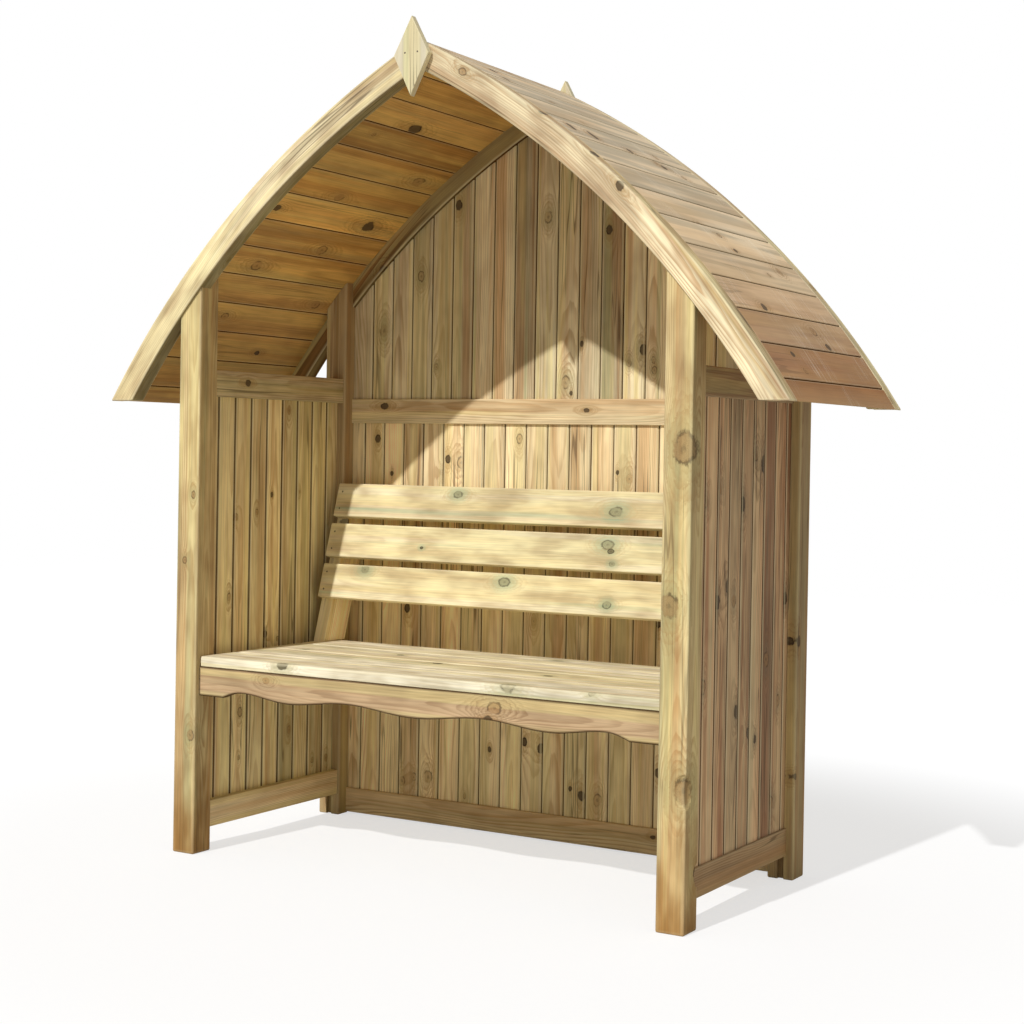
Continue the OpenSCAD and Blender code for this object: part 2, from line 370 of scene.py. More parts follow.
def outlined(corners: Sequence[Sequence[float]]) -> Section:
    """A section with plain straight sides between corners, for a timber sawn out of a flat plank.

    A corner moves in along the line that keeps both its sides parallel: the sum of the two outward
    directions over one plus their dot product.

    Args:
        corners: the corners, anticlockwise.

    Returns:
        The section, every point of it an arris.
    """
    points = np.array(corners)
    side = np.roll(points, -1, axis=0) - points
    side /= np.linalg.norm(side, axis=1)[:, None]
    after = np.stack([side[:, 1], -side[:, 0]], axis=1)
    before = np.roll(after, 1, axis=0)
    inward = -(after + before) / (1.0 + (after * before).sum(axis=1))[:, None]
    return Section(points, inward, np.tile((1.0, 0.0, 0.0), (len(points), 1)))


@dataclass(frozen=True)
class Matchboard:
    """The section of tongued and grooved boards with a chamfered joint on both faces.

    One share of the chamfer is bare wood with a painted highlight at its shoulder; the rest is darkened by dirt
    and by painted shade down into the joint.
    """

    thick: float
    vee: float
    gap: float = 0.0026
    tongue: float = 0.005
    tongue_half: float = 0.0022
    play: float = 0.0004
    play_deep: float = 0.0015
    shoulder: float = 0.003
    clean_and_lit: float = 0.7
    dirt_and_shade: float = 0.7

    def _chamfer(self, edge: float, inwards: int, face: int, air: float) -> list[Row]:
        """Points from a face down into the joint.

        Args:
            edge: where the joint lies across.
            inwards: the sign towards the board's middle.
            face: the sign of the face.
            air: how much that face is out in the weather.

        Returns:
            Rows of (across, through, arris, joint, open air).
        """
        vee, near, far = self.vee, self.vee * self.clean_and_lit, self.vee * min(self.clean_and_lit + 0.1, 1.0)
        # The shoulder gets a painted highlight; further down, the chamfer is darkened by dirt and painted shade.
        steps = (
            (vee + self.shoulder, 0.0, 0.0, 0.0), (vee, 0.0, 1.0, 0.0), (vee - near, near, WORN_AND_LIT, 0.0),
            (vee - far, far, 0.0, self.dirt_and_shade), (0.0, vee, 0.0, self.dirt_and_shade),
        )
        return [
            (edge + inwards * x, face * (self.thick / 2 - y), arris, joint, air) for x, y, arris, joint in steps
        ]

    def section(
        self,
        left: float,
        right: float,
        plain_left: bool = False,
        plain_right: bool = False,
        stops: Sequence[float] = (),
        over: float = 0.0,
    ) -> Section:
        """The outline of one board.

        The tongue stands on the right edge and the groove is in the left one. A plain edge has neither
        and no chamfer, because it lies hidden in another timber.

        Args:
            left, right: the joint lines on both sides of the board.
            plain_left, plain_right: which edges are plain.
            stops: places across the board where its faces need a point.
            over: how much the upper face is out in the weather.

        Returns:
            The section.
        """
        half, lip, reach = self.thick / 2, self.tongue_half, self.vee + self.shoulder
        a, b = left + (0.0 if plain_left else self.gap / 2), right - (0.0 if plain_right else self.gap / 2)
        inner = [s for s in stops if a + reach < s < b - reach]
        rows: list[Row]
        if plain_right:
            rows = [(b, -half, 0, 0, 0), (b, half, 0, 0, over)]
        else:
            tip = b + self.tongue
            rows = self._chamfer(b, -1, -1, 0.0)
            # The tongue, seen down the gap, is painted dark: dirt and painted shade.
            rows += [(b, -lip, 0, 1, 0), (tip, -lip, 0, 1, 0), (tip, lip, 0, 1, 0), (b, lip, 0, 1, over)]
            rows += self._chamfer(b, -1, 1, over)[::-1]
        rows += [(s, half, 0, 0, over) for s in reversed(inner)]
        if plain_left:
            rows += [(a, half, 0, 0, over), (a, -half, 0, 0, 0)]
        else:
            mouth, floor = lip + self.play, a + self.tongue + self.play_deep
            rows += self._chamfer(a, 1, 1, over)
            # The groove's mouth, seen down the gap, is painted dark: dirt and painted shade.
            rows += [(x, y, 0, 1, 0) for x, y in ((a, mouth), (floor, mouth), (floor, -mouth), (a, -mouth))]
            rows += self._chamfer(a, 1, -1, 0.0)[::-1]
        rows += [(s, -half, 0, 0, 0) for s in inner]
        table = np.array(rows, float)
        return Section(table[:, :2], np.zeros((len(rows), 2)), table[:, 2:])


# ---------------------------------------------------------------- shells


@dataclass(frozen=True)
class Lie:
    """Where a straight timber lies: its origin and its across, through and along directions."""

    origin: Sequence[float]
    across: Sequence[float]
    through: Sequence[float]
    along: Sequence[float]

    def __call__(self, a: Array, b: Array, l: Array) -> Array:
        """Points at across a, through b and along l."""
        frame = (self.across, self.through, self.along)
        return np.array(self.origin) + sum(v[..., None] * np.array(d) for v, d in zip((a, b, l), frame))


@dataclass(frozen=True)
class Box:
    """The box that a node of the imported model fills, in metres."""

    lo: Array
    hi: Array

    @classmethod
    def of(cls, node: str) -> Box:
        """The box of a node."""
        lo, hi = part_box(node)
        return cls(np.array(lo), np.array(hi))

    @property
    def middle(self) -> Array:
        """Its middle."""
        return (self.lo + self.hi) / 2

    @property
    def size(self) -> Array:
        """Its size."""
        return self.hi - self.lo

    def lie(self, run: int) -> Lie:
        """How a timber lies in it that runs along X (0) or Y (1), with its through direction upwards."""
        axes = np.eye(3)
        return Lie(self.middle * (1 - axes[run]), axes[1 - run], axes[2], axes[run])


@dataclass
class Shell:
    """One closed timber: its points, faces and what its material reads at each point."""

    points: Array
    quads: Array
    caps: list[list[int]]
    grain: Array
    wear: Array
    timber: Timber

    def face_out(self) -> Shell:
        """Turn the faces round if they point inwards, which the sign of the enclosed volume tells.

        Returns:
            The shell itself.
        """
        p = self.points - self.points.mean(axis=0)
        fans = [(cap[0], cap[i], cap[i + 1]) for cap in self.caps for i in range(1, len(cap) - 1)]
        tris = np.concatenate([self.quads[:, [0, 1, 2]], self.quads[:, [0, 2, 3]], np.array(fans)])
        volume = np.einsum("ij,ij->i", p[tris[:, 0]], np.cross(p[tris[:, 1]], p[tris[:, 2]])).sum()
        if volume < 0:
            self.quads = self.quads[:, ::-1]
            self.caps = [cap[::-1] for cap in self.caps]
        return self


def end_rows(ease: float) -> list[Spot]:
    """Rows of a rounded end: a quarter circle in three steps.

    Args:
        ease: its radius, or 0 for a plain end.

    Returns:
        Rows of (inset, distance from the end, how much it is a worn arris with a painted highlight).
    """
    if ease <= 0:
        return [(0.0, 0.0, 0.0)]
    arc = [
        (ease * (1 - math.sin(t)), ease * (1 - math.cos(t)), float(t > 0)) for t in (0, math.pi / 6, math.pi / 3)
    ]
    return [*arc, (0.0, ease, WORN_AND_LIT), (0.0, ease + REACH, 0.0)]


def sleeve(k: int, m: int) -> Array:
    """The four-sided faces between rings of points.

    Args:
        k: points in a ring.
        m: rings.

    Returns:
        Four point numbers for each face.
    """
    i, j = np.meshgrid(np.arange(k), np.arange(m - 1))
    near, nxt = j * k + i, j * k + (i + 1) % k
    return np.stack([near, nxt, nxt + k, near + k], axis=-1).reshape(-1, 4)


def lay(
    section: Section,
    lo: Cut,
    hi: Cut,
    place: Place,
    timber: Timber,
    rows: int = 4,
    extra: Iterable[float] = (),
    ease: tuple[float, float] = (0.0, 0.0),
    form: Form | None = None,
    figure: Place | None = None,
    split: tuple[Sequence[int], Sequence[int]] | None = None,
) -> Shell:
    """Carry a section along a timber and close both ends.

    A point of the surface is place(a, b, l). (a, b) is the section's point, moved in by the row's inset;
    l runs from lo(a, b) to hi(a, b), so that an end may be cut askew or curved, with level rows between.

    Args:
        section: the outline.
        lo, hi: where the timber begins and ends, as a number or for each point of the outline.
        place: turns across, through and along into a point in space.
        timber: the timber's own grain and knots.
        rows: number of even rows between the ends.
        extra: further places along that need a row.
        ease: radius of the rounding at both ends.
        form: reshapes (a, b) at l, for a scoop, a wane or a shaped edge.
        figure: turns (a, b, l) into the grain's across, through and along, where that differs from them.
        split: two runs of the outline's points that end at different heights, with a step between them.

    Returns:
        The closed shell, its faces pointing out.
    """
    ring = section.points
    k = len(ring)
    begin = lo(ring[:, 0], ring[:, 1]) if callable(lo) else np.full(k, float(lo))
    stop = hi(ring[:, 0], ring[:, 1]) if callable(hi) else np.full(k, float(hi))
    first, last = np.array(end_rows(ease[0])), np.array(end_rows(ease[1]))[::-1]
    low, high = begin.max() + first[:, 1].max() + 1e-4, stop.min() - last[:, 1].max() - 1e-4
    level = np.array(sorted(v for v in {*np.linspace(low, high, rows + 2)[1:-1], *extra} if low < v < high))
    nil = np.zeros(len(level))
    inset = np.concatenate([first[:, 0], nil, last[:, 0]])[:, None]
    # The rounded ends carry the worn arris with its painted highlight.
    end_rub_and_sheen = np.concatenate([first[:, 2], nil, last[:, 2]])[:, None]
    a = ring[None, :, 0] + inset * section.inward[None, :, 0]
    b = ring[None, :, 1] + inset * section.inward[None, :, 1]
    l = np.concatenate(
        [begin[None] + first[:, 1:2], np.repeat(level[:, None], k, axis=1), stop[None] - last[:, 1:2]]
    )
    if form is not None:
        a, b = form(a, b, l)
    points = place(a, b, l).reshape(-1, 3)
    solid = np.stack([a, b, l], axis=-1) if figure is None else figure(a, b, l)
    grain = solid - np.array([*timber.pith, -timber.shift])
    m = len(inset)
    wear = np.repeat(section.wear[None], m, axis=0)
    wear[..., 0] = np.maximum(wear[..., 0] * (inset == 0), end_rub_and_sheen)
    top = (m - 1) * k
    caps = [list(range(k))[::-1]]
    if split is None:
        caps.append([top + n for n in range(k)])
    else:
        under, over = split
        caps += [[top + n for n in under], [top + n for n in over]]
        caps.append([top + under[0], top + under[-1], top + over[0], top + over[-1]])
    return Shell(points, sleeve(k, m), caps, grain.reshape(-1, 3), wear.reshape(-1, 3), timber).face_out()


# ---------------------------------------------------------------- finishes


def colour(code: str) -> tuple[float, float, float, float]:
    """A hex colour as the linear values that a node takes."""
    shares = [int(code[i : i + 2], 16) / 255 for i in (0, 2, 4)]
    return (*[c / 12.92 if c <= 0.04045 else ((c + 0.055) / 1.055) ** 2.4 for c in shares], 1.0)


@dataclass(frozen=True)
class Num:
    """A number inside a node tree. Sums written with it become nodes."""

    graph: Graph
    socket: bpy.types.NodeSocket

    def __add__(self, other: Value) -> Num:
        """Add a value."""
        return self.graph.math("ADD", self, other)

    def __sub__(self, other: Value) -> Num:
        """Take a value away."""
        return self.graph.math("SUBTRACT", self, other)

    def __mul__(self, other: Value) -> Num:
        """Multiply by a value."""
        return self.graph.math("MULTIPLY", self, other)

    def __truediv__(self, other: Value) -> Num:
        """Divide by a value."""
        return self.graph.math("DIVIDE", self, other)

    def line(self, slope: float, start: float) -> Num:
        """The number times slope, plus start."""
        return self.graph.math("MULTIPLY_ADD", self, slope, start)

    def step(self, lo: float, hi: float, start: float = 0.0, end: float = 1.0) -> Num:
        """A smooth step from one value to another.

        Args:
            lo, hi: where the number begins and ends it.
            start, end: the two values.

        Returns:
            The value.
        """
        inputs = {"Value": self, "From Min": lo, "From Max": hi, "To Min": start, "To Max": end}
        node = self.graph.add("ShaderNodeMapRange", inputs, interpolation_type="SMOOTHSTEP")
        return Num(self.graph, node.outputs[0])


Value = Union[float, Num]
Tint = Union[str, bpy.types.NodeSocket]


class Graph:
    """Builds a material's nodes from plain calls."""

    def __init__(self, tree: bpy.types.NodeTree) -> None:
        """Empty the tree."""
        self.tree = tree
        tree.nodes.clear()

    def add(self, kind: str, inputs: dict[int | str, object] | None = None, **settings: object) -> bpy.types.Node:
        """Add a node, set it up and feed it.

        Args:
            kind: the node's type.
            inputs: what goes into it, by number or name.
            **settings: its settings.

        Returns:
            The node.
        """
        node = self.tree.nodes.new(kind)
        for name, setting in settings.items():
            setattr(node, name, setting)
        for key, value in (inputs or {}).items():
            if value is not None:
                self.feed(node.inputs[key], value)
        return node

    def feed(self, target: bpy.types.NodeSocket, value: object) -> None:
        """Give a node one input.

        Args:
            target: the input.
            value: a number, a colour code or what another node puts out.
        """
        value = value.socket if isinstance(value, Num) else value
        if isinstance(value, bpy.types.NodeSocket):
            self.tree.links.new(value, target)
        else:
            target.default_value = colour(value) if isinstance(value, str) else value

    def math(self, operation: str, a: Value, b: Value | None = None, c: Value | None = None) -> Num:
        """One sum on one to three values."""
        return Num(self, self.add("ShaderNodeMath", {0: a, 1: b, 2: c}, operation=operation).outputs[0])

    def length(self, x: Num, y: Num) -> Num:
        """The root of the sum of two squares."""
        return self.math("SQRT", x * x + y * y)

    def greatest(self, *values: Num) -> Num:
        """The greatest of several values."""
        return reduce(lambda a, b: self.math("MAXIMUM", a, b), values)

    def read(self, name: str) -> bpy.types.NodeSocket:
        """A vector stored on the mesh."""
        return self.add("ShaderNodeAttribute", attribute_name=name).outputs["Vector"]

    def parts(self, vector: bpy.types.NodeSocket) -> list[Num]:
        """The three parts of a vector."""
        return [Num(self, part) for part in self.add("ShaderNodeSeparateXYZ", {0: vector}).outputs]

    def spot(self) -> bpy.types.NodeSocket:
        """Where a point lies in its object."""
        return self.add("ShaderNodeTexCoord").outputs["Object"]

    def clouds(
        self, vector: bpy.types.NodeSocket, across: float, along: float, detail: float = 1.0, rough: float = 0.5
    ) -> bpy.types.Node:
        """A noise node.

        Args:
            vector: the grain or another place.
            across, along: features to the metre across the grain and along it.
            detail, rough: its finer features, and how strong they are.

        Returns:
            The node.
        """
        scale = {0: vector, 1: (across, across, along)}
        scaled = self.add("ShaderNodeVectorMath", scale, operation="MULTIPLY").outputs[0]
        inputs = {"Vector": scaled, "Scale": 1.0, "Detail": detail, "Roughness": rough}
        return self.add("ShaderNodeTexNoise", inputs)

    def noise(
        self, vector: bpy.types.NodeSocket, across: float, along: float, detail: float = 1.0, rough: float = 0.5
    ) -> Num:
        """Cloudy noise around 0.5."""
        return Num(self, self.clouds(vector, across, along, detail, rough).outputs["Fac"])

    def noises(self, vector: bpy.types.NodeSocket, across: float, along: float, detail: float = 1.0) -> list[Num]:
        """Three noises at once that have nothing to do with each other."""
        tints = self.clouds(vector, across, along, detail).outputs["Color"]
        return [Num(self, part) for part in self.add("ShaderNodeSeparateColor", {0: tints}).outputs]

    def mix(self, factor: Value, a: Tint, b: Tint, blend: str = "MIX") -> bpy.types.NodeSocket:
        """Lay one colour over another.

        Args:
            factor: how much of b there is.
            a, b: the lower and the upper colour.
            blend: how they go together.

        Returns:
            The colour.
        """
        node = self.add("ShaderNodeMix", data_type="RGBA", blend_type=blend)
        ends = [s for s in node.inputs if s.type == "RGBA"]
        for target, value in ((node.inputs["Factor"], factor), (ends[0], a), (ends[1], b)):
            self.feed(target, value)
        return next(s for s in node.outputs if s.type == "RGBA")

    def close(self, shader: bpy.types.Node) -> None:
        """End a material's tree with its shader."""
        self.add("ShaderNodeOutputMaterial", {"Surface": shader.outputs[0]})


def finish_named(name: str, wire: Callable[[Graph], None]) -> bpy.types.Material:
    """A material, made when it is first asked for.

    Args:
        name: its name.
        wire: makes its nodes.

    Returns:
        The material.
    """
    made = bpy.data.materials.get(name)
    if made is None:
        made = bpy.data.materials.new(name)
        made.use_nodes = True
        wire(Graph(made.node_tree))
    return made


def knot_group() -> bpy.types.NodeTree:
    """The pattern of one knot: a branch runs straight out from the pith.

    A point lies at q out along the branch, w beside it and h along the log from its middle. Near, Far and
    Flow tell how many knot radii it lies from the branch, each with the log's direction shrunk by its own
    share. The rings of the log bulge over the branch by 1.2 radii times a bell curve that is long along the
    grain. Rings are the branch's own, 2.4 mm wide.

    Returns:
        The group of nodes, made once.
    """
    tree = bpy.data.node_groups.get("knot")
    if tree is not None:
        return tree
    tree = bpy.data.node_groups.new("knot", "ShaderNodeTree")
    for name, kind in (("Grain", "Vector"), ("Knot", "Vector"), ("Waver", "Float")):
        tree.interface.new_socket(name, in_out="INPUT", socket_type=f"NodeSocket{kind}")
    for name in ("Bulge", "Near", "Far", "Flow", "Rings", "Dead"):
        tree.interface.new_socket(name, in_out="OUTPUT", socket_type="NodeSocketFloat")
    g = Graph(tree)
    source = g.add("NodeGroupInput").outputs
    waver = Num(g, source["Waver"])
    gx, gy, gz = g.parts(source["Grain"])
    turn, along, radius = g.parts(source["Knot"])
    cosine, sine = g.math("COSINE", turn), g.math("SINE", turn)
    q, w, h = gx * cosine + gy * sine, gy * cosine - gx * sine, gz - along
    size = g.math("MAXIMUM", radius, 0.0005)
    behind = g.math("LESS_THAN", q, 0.0) * 20.0

    def reach(side: float, length: float) -> Num:
        """Distance from the branch in radii, with the two directions scaled."""
        return g.length(w * side, h * length) / size

    near, wide = reach(1.0, 0.72) + behind + waver, reach(0.6, 0.32) + behind
    result = {
        "Bulge": g.math("EXPONENT", wide * wide * -0.5) * size * 1.2,
        "Near": near,
        "Far": reach(0.75, 0.22) + behind + waver * 2.0,
        "Flow": reach(0.9, 0.4) + behind + waver,
        "Rings": g.math("FRACT", near * size * (1 / 0.0024)),
        "Dead": g.math("GREATER_THAN", turn, math.pi + 0.001),
    }
    g.add("NodeGroupOutput", result)
    return tree


@dataclass(frozen=True)
class Pine:
    """Sawn or planed softwood, with everything that one finish differs in from the next.

    early and late are the wood between and in the growth rings, heart the brown bands of heartwood, sap the
    yellow bands of sapwood, green the salts of the pressure treatment, grey weathered wood, pale the painted
    highlight on a worn arris, which paints a shade line instead where it is dark, grime the dirt in joints
    with the painted shade there and on shaded faces, knot a live knot, bark a dead one, flame the wood drawn
    out round a knot, and top and dry the faces out in the open air where they are least and most weathered.
    ring is the width of a growth ring in metres and branches the most knots that one of its timbers has; the
    other numbers are strengths from 0 to 1.
    """

    name: str
    early: str = "dcc894"
    late: str = "ab8350"
    heart: str = "b5854f"
    sap: str = "e6d795"
    green: str = "a3ac7c"
    grey: str = "8c7a60"
    pale: str = "f3e8c2"
    grime_and_shade: str = "4f351b"
    knot: str = "a87d4a"
    bark: str = "4a3d28"
    flame: str = "a5783f"
    top: str = "a3663f"
    dry: str = "d6b288"
    ring: float = 0.0042
    figure: float = 0.6
    hearty: float = 0.5
    sappy: float = 0.4
    stain: float = 0.2
    weather: float = 0.2
    cracks: float = 0.6
    rough: float = 0.72
    relief: float = 0.4
    arris: float = 0.35
    streaky: float = 0.42
    mottled: float = 0.35
    eddies: float = 0.4
    topped: float = 0.0
    scuffed: float = 0.0
    damp: float = 0.0
    branches: int = KNOT_SLOTS

    def material(self) -> bpy.types.Material:
        """The finish as a material, made once."""
        return finish_named(self.name, self._wire)

    def _wire(self, g: Graph) -> None:
        """Lay the wood's colours over each other, from its rings to the painted highlight on its arrises and the
        dirt and painted shade in its joints.

        Growth rings are shells round the pith: the distance from it, moved by a slow waver and by the bulge
        over each knot, is divided by the ring width, and each ring darkens towards its outer edge.

        Args:
            g: the material's nodes.
        """
        grain = g.read("grain")
        gx, gy, _ = g.parts(grain)
        tone, hue, exposed = g.parts(g.read("plank"))
        # arris: worn arris with a painted highlight; joint: dirt with painted shade; open_air: weathering.
        arris, joint, open_air = g.parts(g.read("wear"))

        def cloudy(across: float, along: float, detail: float = 1.0, rough: float = 0.5) -> Num:
            """Noise drawn out along the grain."""
            return g.noise(grain, across, along, detail, rough)

        slow, quick = cloudy(7.0, 1.1) - 0.5, cloudy(60.0, 7.0, 2.0) - 0.5
        uneven, ragged = cloudy(42.0, 30.0), cloudy(210.0, 130.0)
        waver = (uneven - 0.5) * 0.6 + (ragged - 0.5) * 0.5
        knots = []
        for i in range(self.branches):
            feeds = {"Grain": grain, "Knot": g.read(f"knot_{i + 1}"), "Waver": waver}
            outputs = g.add("ShaderNodeGroup", feeds, node_tree=knot_group()).outputs
            knots.append({out.name: Num(g, out) for out in outputs})
        bulge = sum((k["Bulge"] for k in knots[1:]), knots[0]["Bulge"])
        halo = g.greatest(*(k["Near"].step(3.4, 1.0) for k in knots))

        depth = g.length(gx, gy) + slow * 0.05 + quick * 0.0035 + bulge * -1.0
        year = g.math("FRACT", depth / self.ring + slow * 1.5)
        summer = year.step(0.3, 0.86) * year.step(0.9, 1.0, 1.0, 0.0)
        wood = g.mix(summer * cloudy(18.0, 2.0).step(0.25, 0.75, 0.3, 1.0) * self.figure, self.early, self.late)
        banded, sapped, spots = g.noises(grain, 26.0, 0.55, 2.0)
        wood = g.mix((banded + hue * 0.09).step(0.47, 0.66) * self.hearty, wood, self.heart)
        wood = g.mix(sapped.step(0.5, 0.56) * self.sappy, wood, self.sap)
        mottle = cloudy(24.0, 8.0, 2.0)
        wood = g.mix(mottle.step(0.6, 0.3) * (self.mottled * 0.45), wood, self.heart)
        wood = g.mix(((spots + slow * 0.35).step(0.52, 0.7) + halo * 0.6) * self.stain, wood, self.green)

        fibre, thread, cloud = cloudy(900.0, 14.0, 2.0, 0.6), cloudy(330.0, 7.0), cloudy(9.0, 1.8, 2.0)
        light = (fibre - 0.5) * 0.28 + (thread - 0.5) * 0.4 + (cloudy(110.0, 2.2, 2.0) - 0.5) * self.streaky
        light = light + (cloud - 0.5) * 0.55 + (mottle - 0.5) * self.mottled
        bright = light * open_air.line(-0.5, 1.0) + 1.0 + tone * 0.18
        wood = g.mix(open_air * self.topped, wood, g.mix(exposed.step(0.0, 0.75), self.top, self.dry))
        wood = g.mix(cloudy(5.0, 1.3).step(0.35, 0.65) * self.weather, wood, self.grey)
        silver = g.mix(cloudy(40.0, 1.6).step(0.42, 0.58), "dccbae", "b0a893")
        wood = g.mix(exposed * open_air * cloud.step(0.2, 0.6, 0.45, 1.0), wood, silver)
        if self.scuffed:
            where = cloudy(7.0, 6.0).step(0.53, 0.66) * open_air
            wood = g.mix(cloudy(9.0, 520.0).step(0.56, 0.7) * where * self.scuffed, wood, "efe6d4")
        if self.damp:
            height = g.parts(g.spot())[2]
            wood = g.mix((height + mottle * 0.3).step(0.45, 0.1) * self.damp, wood, "9a7038")
        shade = g.add("ShaderNodeCombineColor", {0: bright, 1: bright, 2: bright}).outputs[0]
        wood = g.mix(1.0, wood, shade, "MULTIPLY")

        broken = cloudy(38.0, 26.0, 0.0).step(0.42, 0.6, 0.12, 1.0)
        for knot in knots:
            wood = self._grow(g, wood, knot, uneven, broken)
        crack = g.math("ABSOLUTE", cloudy(48.0, 1.3) - 0.5).step(0.028, 0.008)
        wood = g.mix(crack * cloudy(9.0, 2.2, 0.0).step(0.58, 0.66) * self.cracks, wood, "4b371f")
        # Painted highlight on worn arrises, a painted shade line where that colour is dark; then dirt and painted
        # shade in joints and on shaded faces.
        wood = g.mix(arris * self.arris, wood, self.pale)
        wood = g.mix(joint * 0.92, wood, self.grime_and_shade)
        relief = {"Height": thread, "Strength": self.relief, "Distance": 0.0008}
        surface = {
            "Base Color": wood,
            "Roughness": self.rough,
            "Specular IOR Level": joint.step(0.0, 0.5, 0.26, 0.0),
            "Normal": g.add("ShaderNodeBump", relief).outputs[0],
        }
        g.close(g.add("ShaderNodeBsdfPrincipled", surface))

    def _grow(
        self, g: Graph, wood: bpy.types.NodeSocket, knot: dict[str, Num], uneven: Num, broken: Num
    ) -> bpy.types.NodeSocket:
        """Lay one knot over the wood: the flame and the eddies round it, its body and its broken dark rim.

        Args:
            g: the material's nodes.
            wood: the colour so far.
            knot: what the knot's pattern tells at the point.
            uneven: noise that mottles the bark of a dead knot.
            broken: noise that breaks up the rim.

        Returns:
            The colour with the knot in it.
        """
        near, flow, dead = knot["Near"], knot["Flow"], knot["Dead"]
        body = near.step(1.12, 0.86) * dead.line(0.2, 0.65)
        rim = near.step(0.72, 0.98) * near.step(1.26, 1.02) * broken * dead.line(0.3, 0.6)
        wood = g.mix(knot["Far"].step(1.4, 0.2) * dead.line(0.2, 0.25), wood, self.flame)
        eddy = flow.step(0.7, 1.1) * flow.step(3.1, 1.3) * g.math("FRACT", flow * 2.1).step(0.4, 0.95)
        wood = g.mix(eddy * self.eddies, wood, self.late)
        bark = g.mix(uneven.step(0.35, 0.65, 0.0, 0.6), self.bark, "2c2216")
        inner = g.mix(dead, g.mix(0.65, wood, self.knot), bark)
        inner = g.mix(knot["Rings"].step(0.45, 0.9) * 0.4, inner, "4a301a")
        inner = g.mix(near.step(0.4, 0.1, 0.0, 0.6), inner, "3f2814")
        return g.mix(rim, g.mix(body, wood, inner), "2e1d0d")


@dataclass(frozen=True)
class Steel:
    """The dulled zinc of nail heads, a little uneven."""

    name: str = "nail_steel"

    def material(self) -> bpy.types.Material:
        """The finish as a material, made once."""
        return finish_named(self.name, self._wire)

    def _wire(self, g: Graph) -> None:
        """Brown and grey clouds."""
        tint = g.mix(g.noise(g.read("grain"), 700.0, 700.0, 3.0).step(0.3, 0.7), "3f3527", "75695a")
        g.close(g.add("ShaderNodeBsdfPrincipled", {"Base Color": tint, "Metallic": 0.5, "Roughness": 0.55}))


# ---------------------------------------------------------------- pieces


@dataclass
class Piece:
    """One visible piece: its finish and the construction nodes that it stands for, or else its namesake."""

    name: str
    finish: Pine | Steel
    slot: str
    nodes: tuple[str, ...] = ()

    def __post_init__(self) -> None:
        """Fill in the node."""
        self.nodes = self.nodes or (self.name,)

    def build(self, *shells: Shell) -> bpy.types.Object:
        """Join its timbers in one mesh, dress it and set it in the frame.

        Args:
            *shells: the timbers.

        Returns:
            The object.
        """
        faces: list[list[int]] = []
        count = [len(s.points) for s in shells]
        for shell, start in zip(shells, np.cumsum([0, *count])):
            faces += (shell.quads + start).tolist()
            faces += [[n + int(start) for n in cap] for cap in shell.caps]
        mesh = bpy.data.meshes.new(self.name)
        mesh.from_pydata(np.concatenate([s.points for s in shells]), [], faces)
        kind = np.array([(s.timber.tone, s.timber.hue, s.timber.weather) for s in shells])
        stored = {
            "grain": np.concatenate([s.grain for s in shells]),
            "wear": np.concatenate([s.wear for s in shells]),
            "plank": np.repeat(kind, count, axis=0),
        }
        knots = np.array([s.timber.knot_rows() for s in shells])
        stored |= {f"knot_{i + 1}": np.repeat(knots[:, i], count, axis=0) for i in range(KNOT_SLOTS)}
        for name, values in stored.items():
            layer = mesh.attributes.new(name, "FLOAT_VECTOR", "POINT")
            layer.data.foreach_set("vector", values.astype(np.float32).ravel())
        mesh.polygons.foreach_set("use_smooth", np.ones(len(mesh.polygons), bool))
        mesh.set_sharp_from_angle(angle=math.radians(40))
        mesh.materials.append(self.finish.material())
        piece = bpy.data.objects.new(self.name, mesh)
        bpy.context.scene.collection.objects.link(piece)
        even = piece.modifiers.new("even_shading", "WEIGHTED_NORMAL")
        even.keep_sharp = True
        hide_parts(*self.nodes)
        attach(piece, "root")
        log.info("%s: %d timbers, %d faces", self.name, len(shells), len(faces))
        return piece


# ---------------------------------------------------------------- finishes in use

POST = Pine(
    "pine_post", early="dcc792", late="a87f4b", knot="94683f", ring=0.0046, figure=0.75, weather=0.2, stain=0.45,
    arris=0.12, cracks=0.4, mottled=0.6, eddies=0.3, damp=0.9,
)
BACK_POST = Pine("pine_back_post", early="bfa678", late="8f6c44", weather=0.3, stain=0.2, arris=0.15, branches=2)
# Its dark greenish joint colour paints the shadow on the rafters' under faces.
RAFTER = Pine(
    "pine_rafter", early="f0e1ba", late="bb9262", heart="a8764b", grime_and_shade="564c22", weather=0.25, hearty=0.65,
    figure=0.7, mottled=0.7, streaky=0.7,
)
# A darker copy of the rafter finish: painted shade on the back left rafter's face under the roof.
SHADED_RAFTER = Pine("pine_back_rafter", early="75592b", late="553d1e", weather=0.3, branches=1)
FINIAL = Pine(
    "pine_finial", early="dcd3b8", late="c3b793", figure=0.25, hearty=0.1, stain=0.3, weather=0.05, mottled=0.15,
    branches=1,
)
DECK = Pine(
    "pine_roof_boards", early="dcae60", late="94692f", heart="a97638", sap="e8c46e", grime_and_shade="46280f", weather=0.2,
    hearty=0.6, figure=0.3, arris=0.2, cracks=0.3, streaky=0.35, mottled=0.4, topped=0.72, scuffed=0.5,
)
INNER = Pine("pine_panel_inner", early="f0dfac", late="b08a56", weather=0.1, stain=0.25, arris=0.5, branches=3)
OUTER = Pine(
    "pine_panel_outer", early="d6b084", late="8f6944", heart="97603f", sap="dcc79a", green="8c9476",
    flame="4d3a26", grime_and_shade="3a2412", weather=0.1, stain=0.25, hearty=0.65, sappy=0.45, arris=0.5, branches=3,
)
PANEL = Pine(
    "pine_panel_boards", early="fbe5b4", late="bd925f", knot="c9a672", weather=0.04, stain=0.15, arris=0.55,
    branches=3,
)
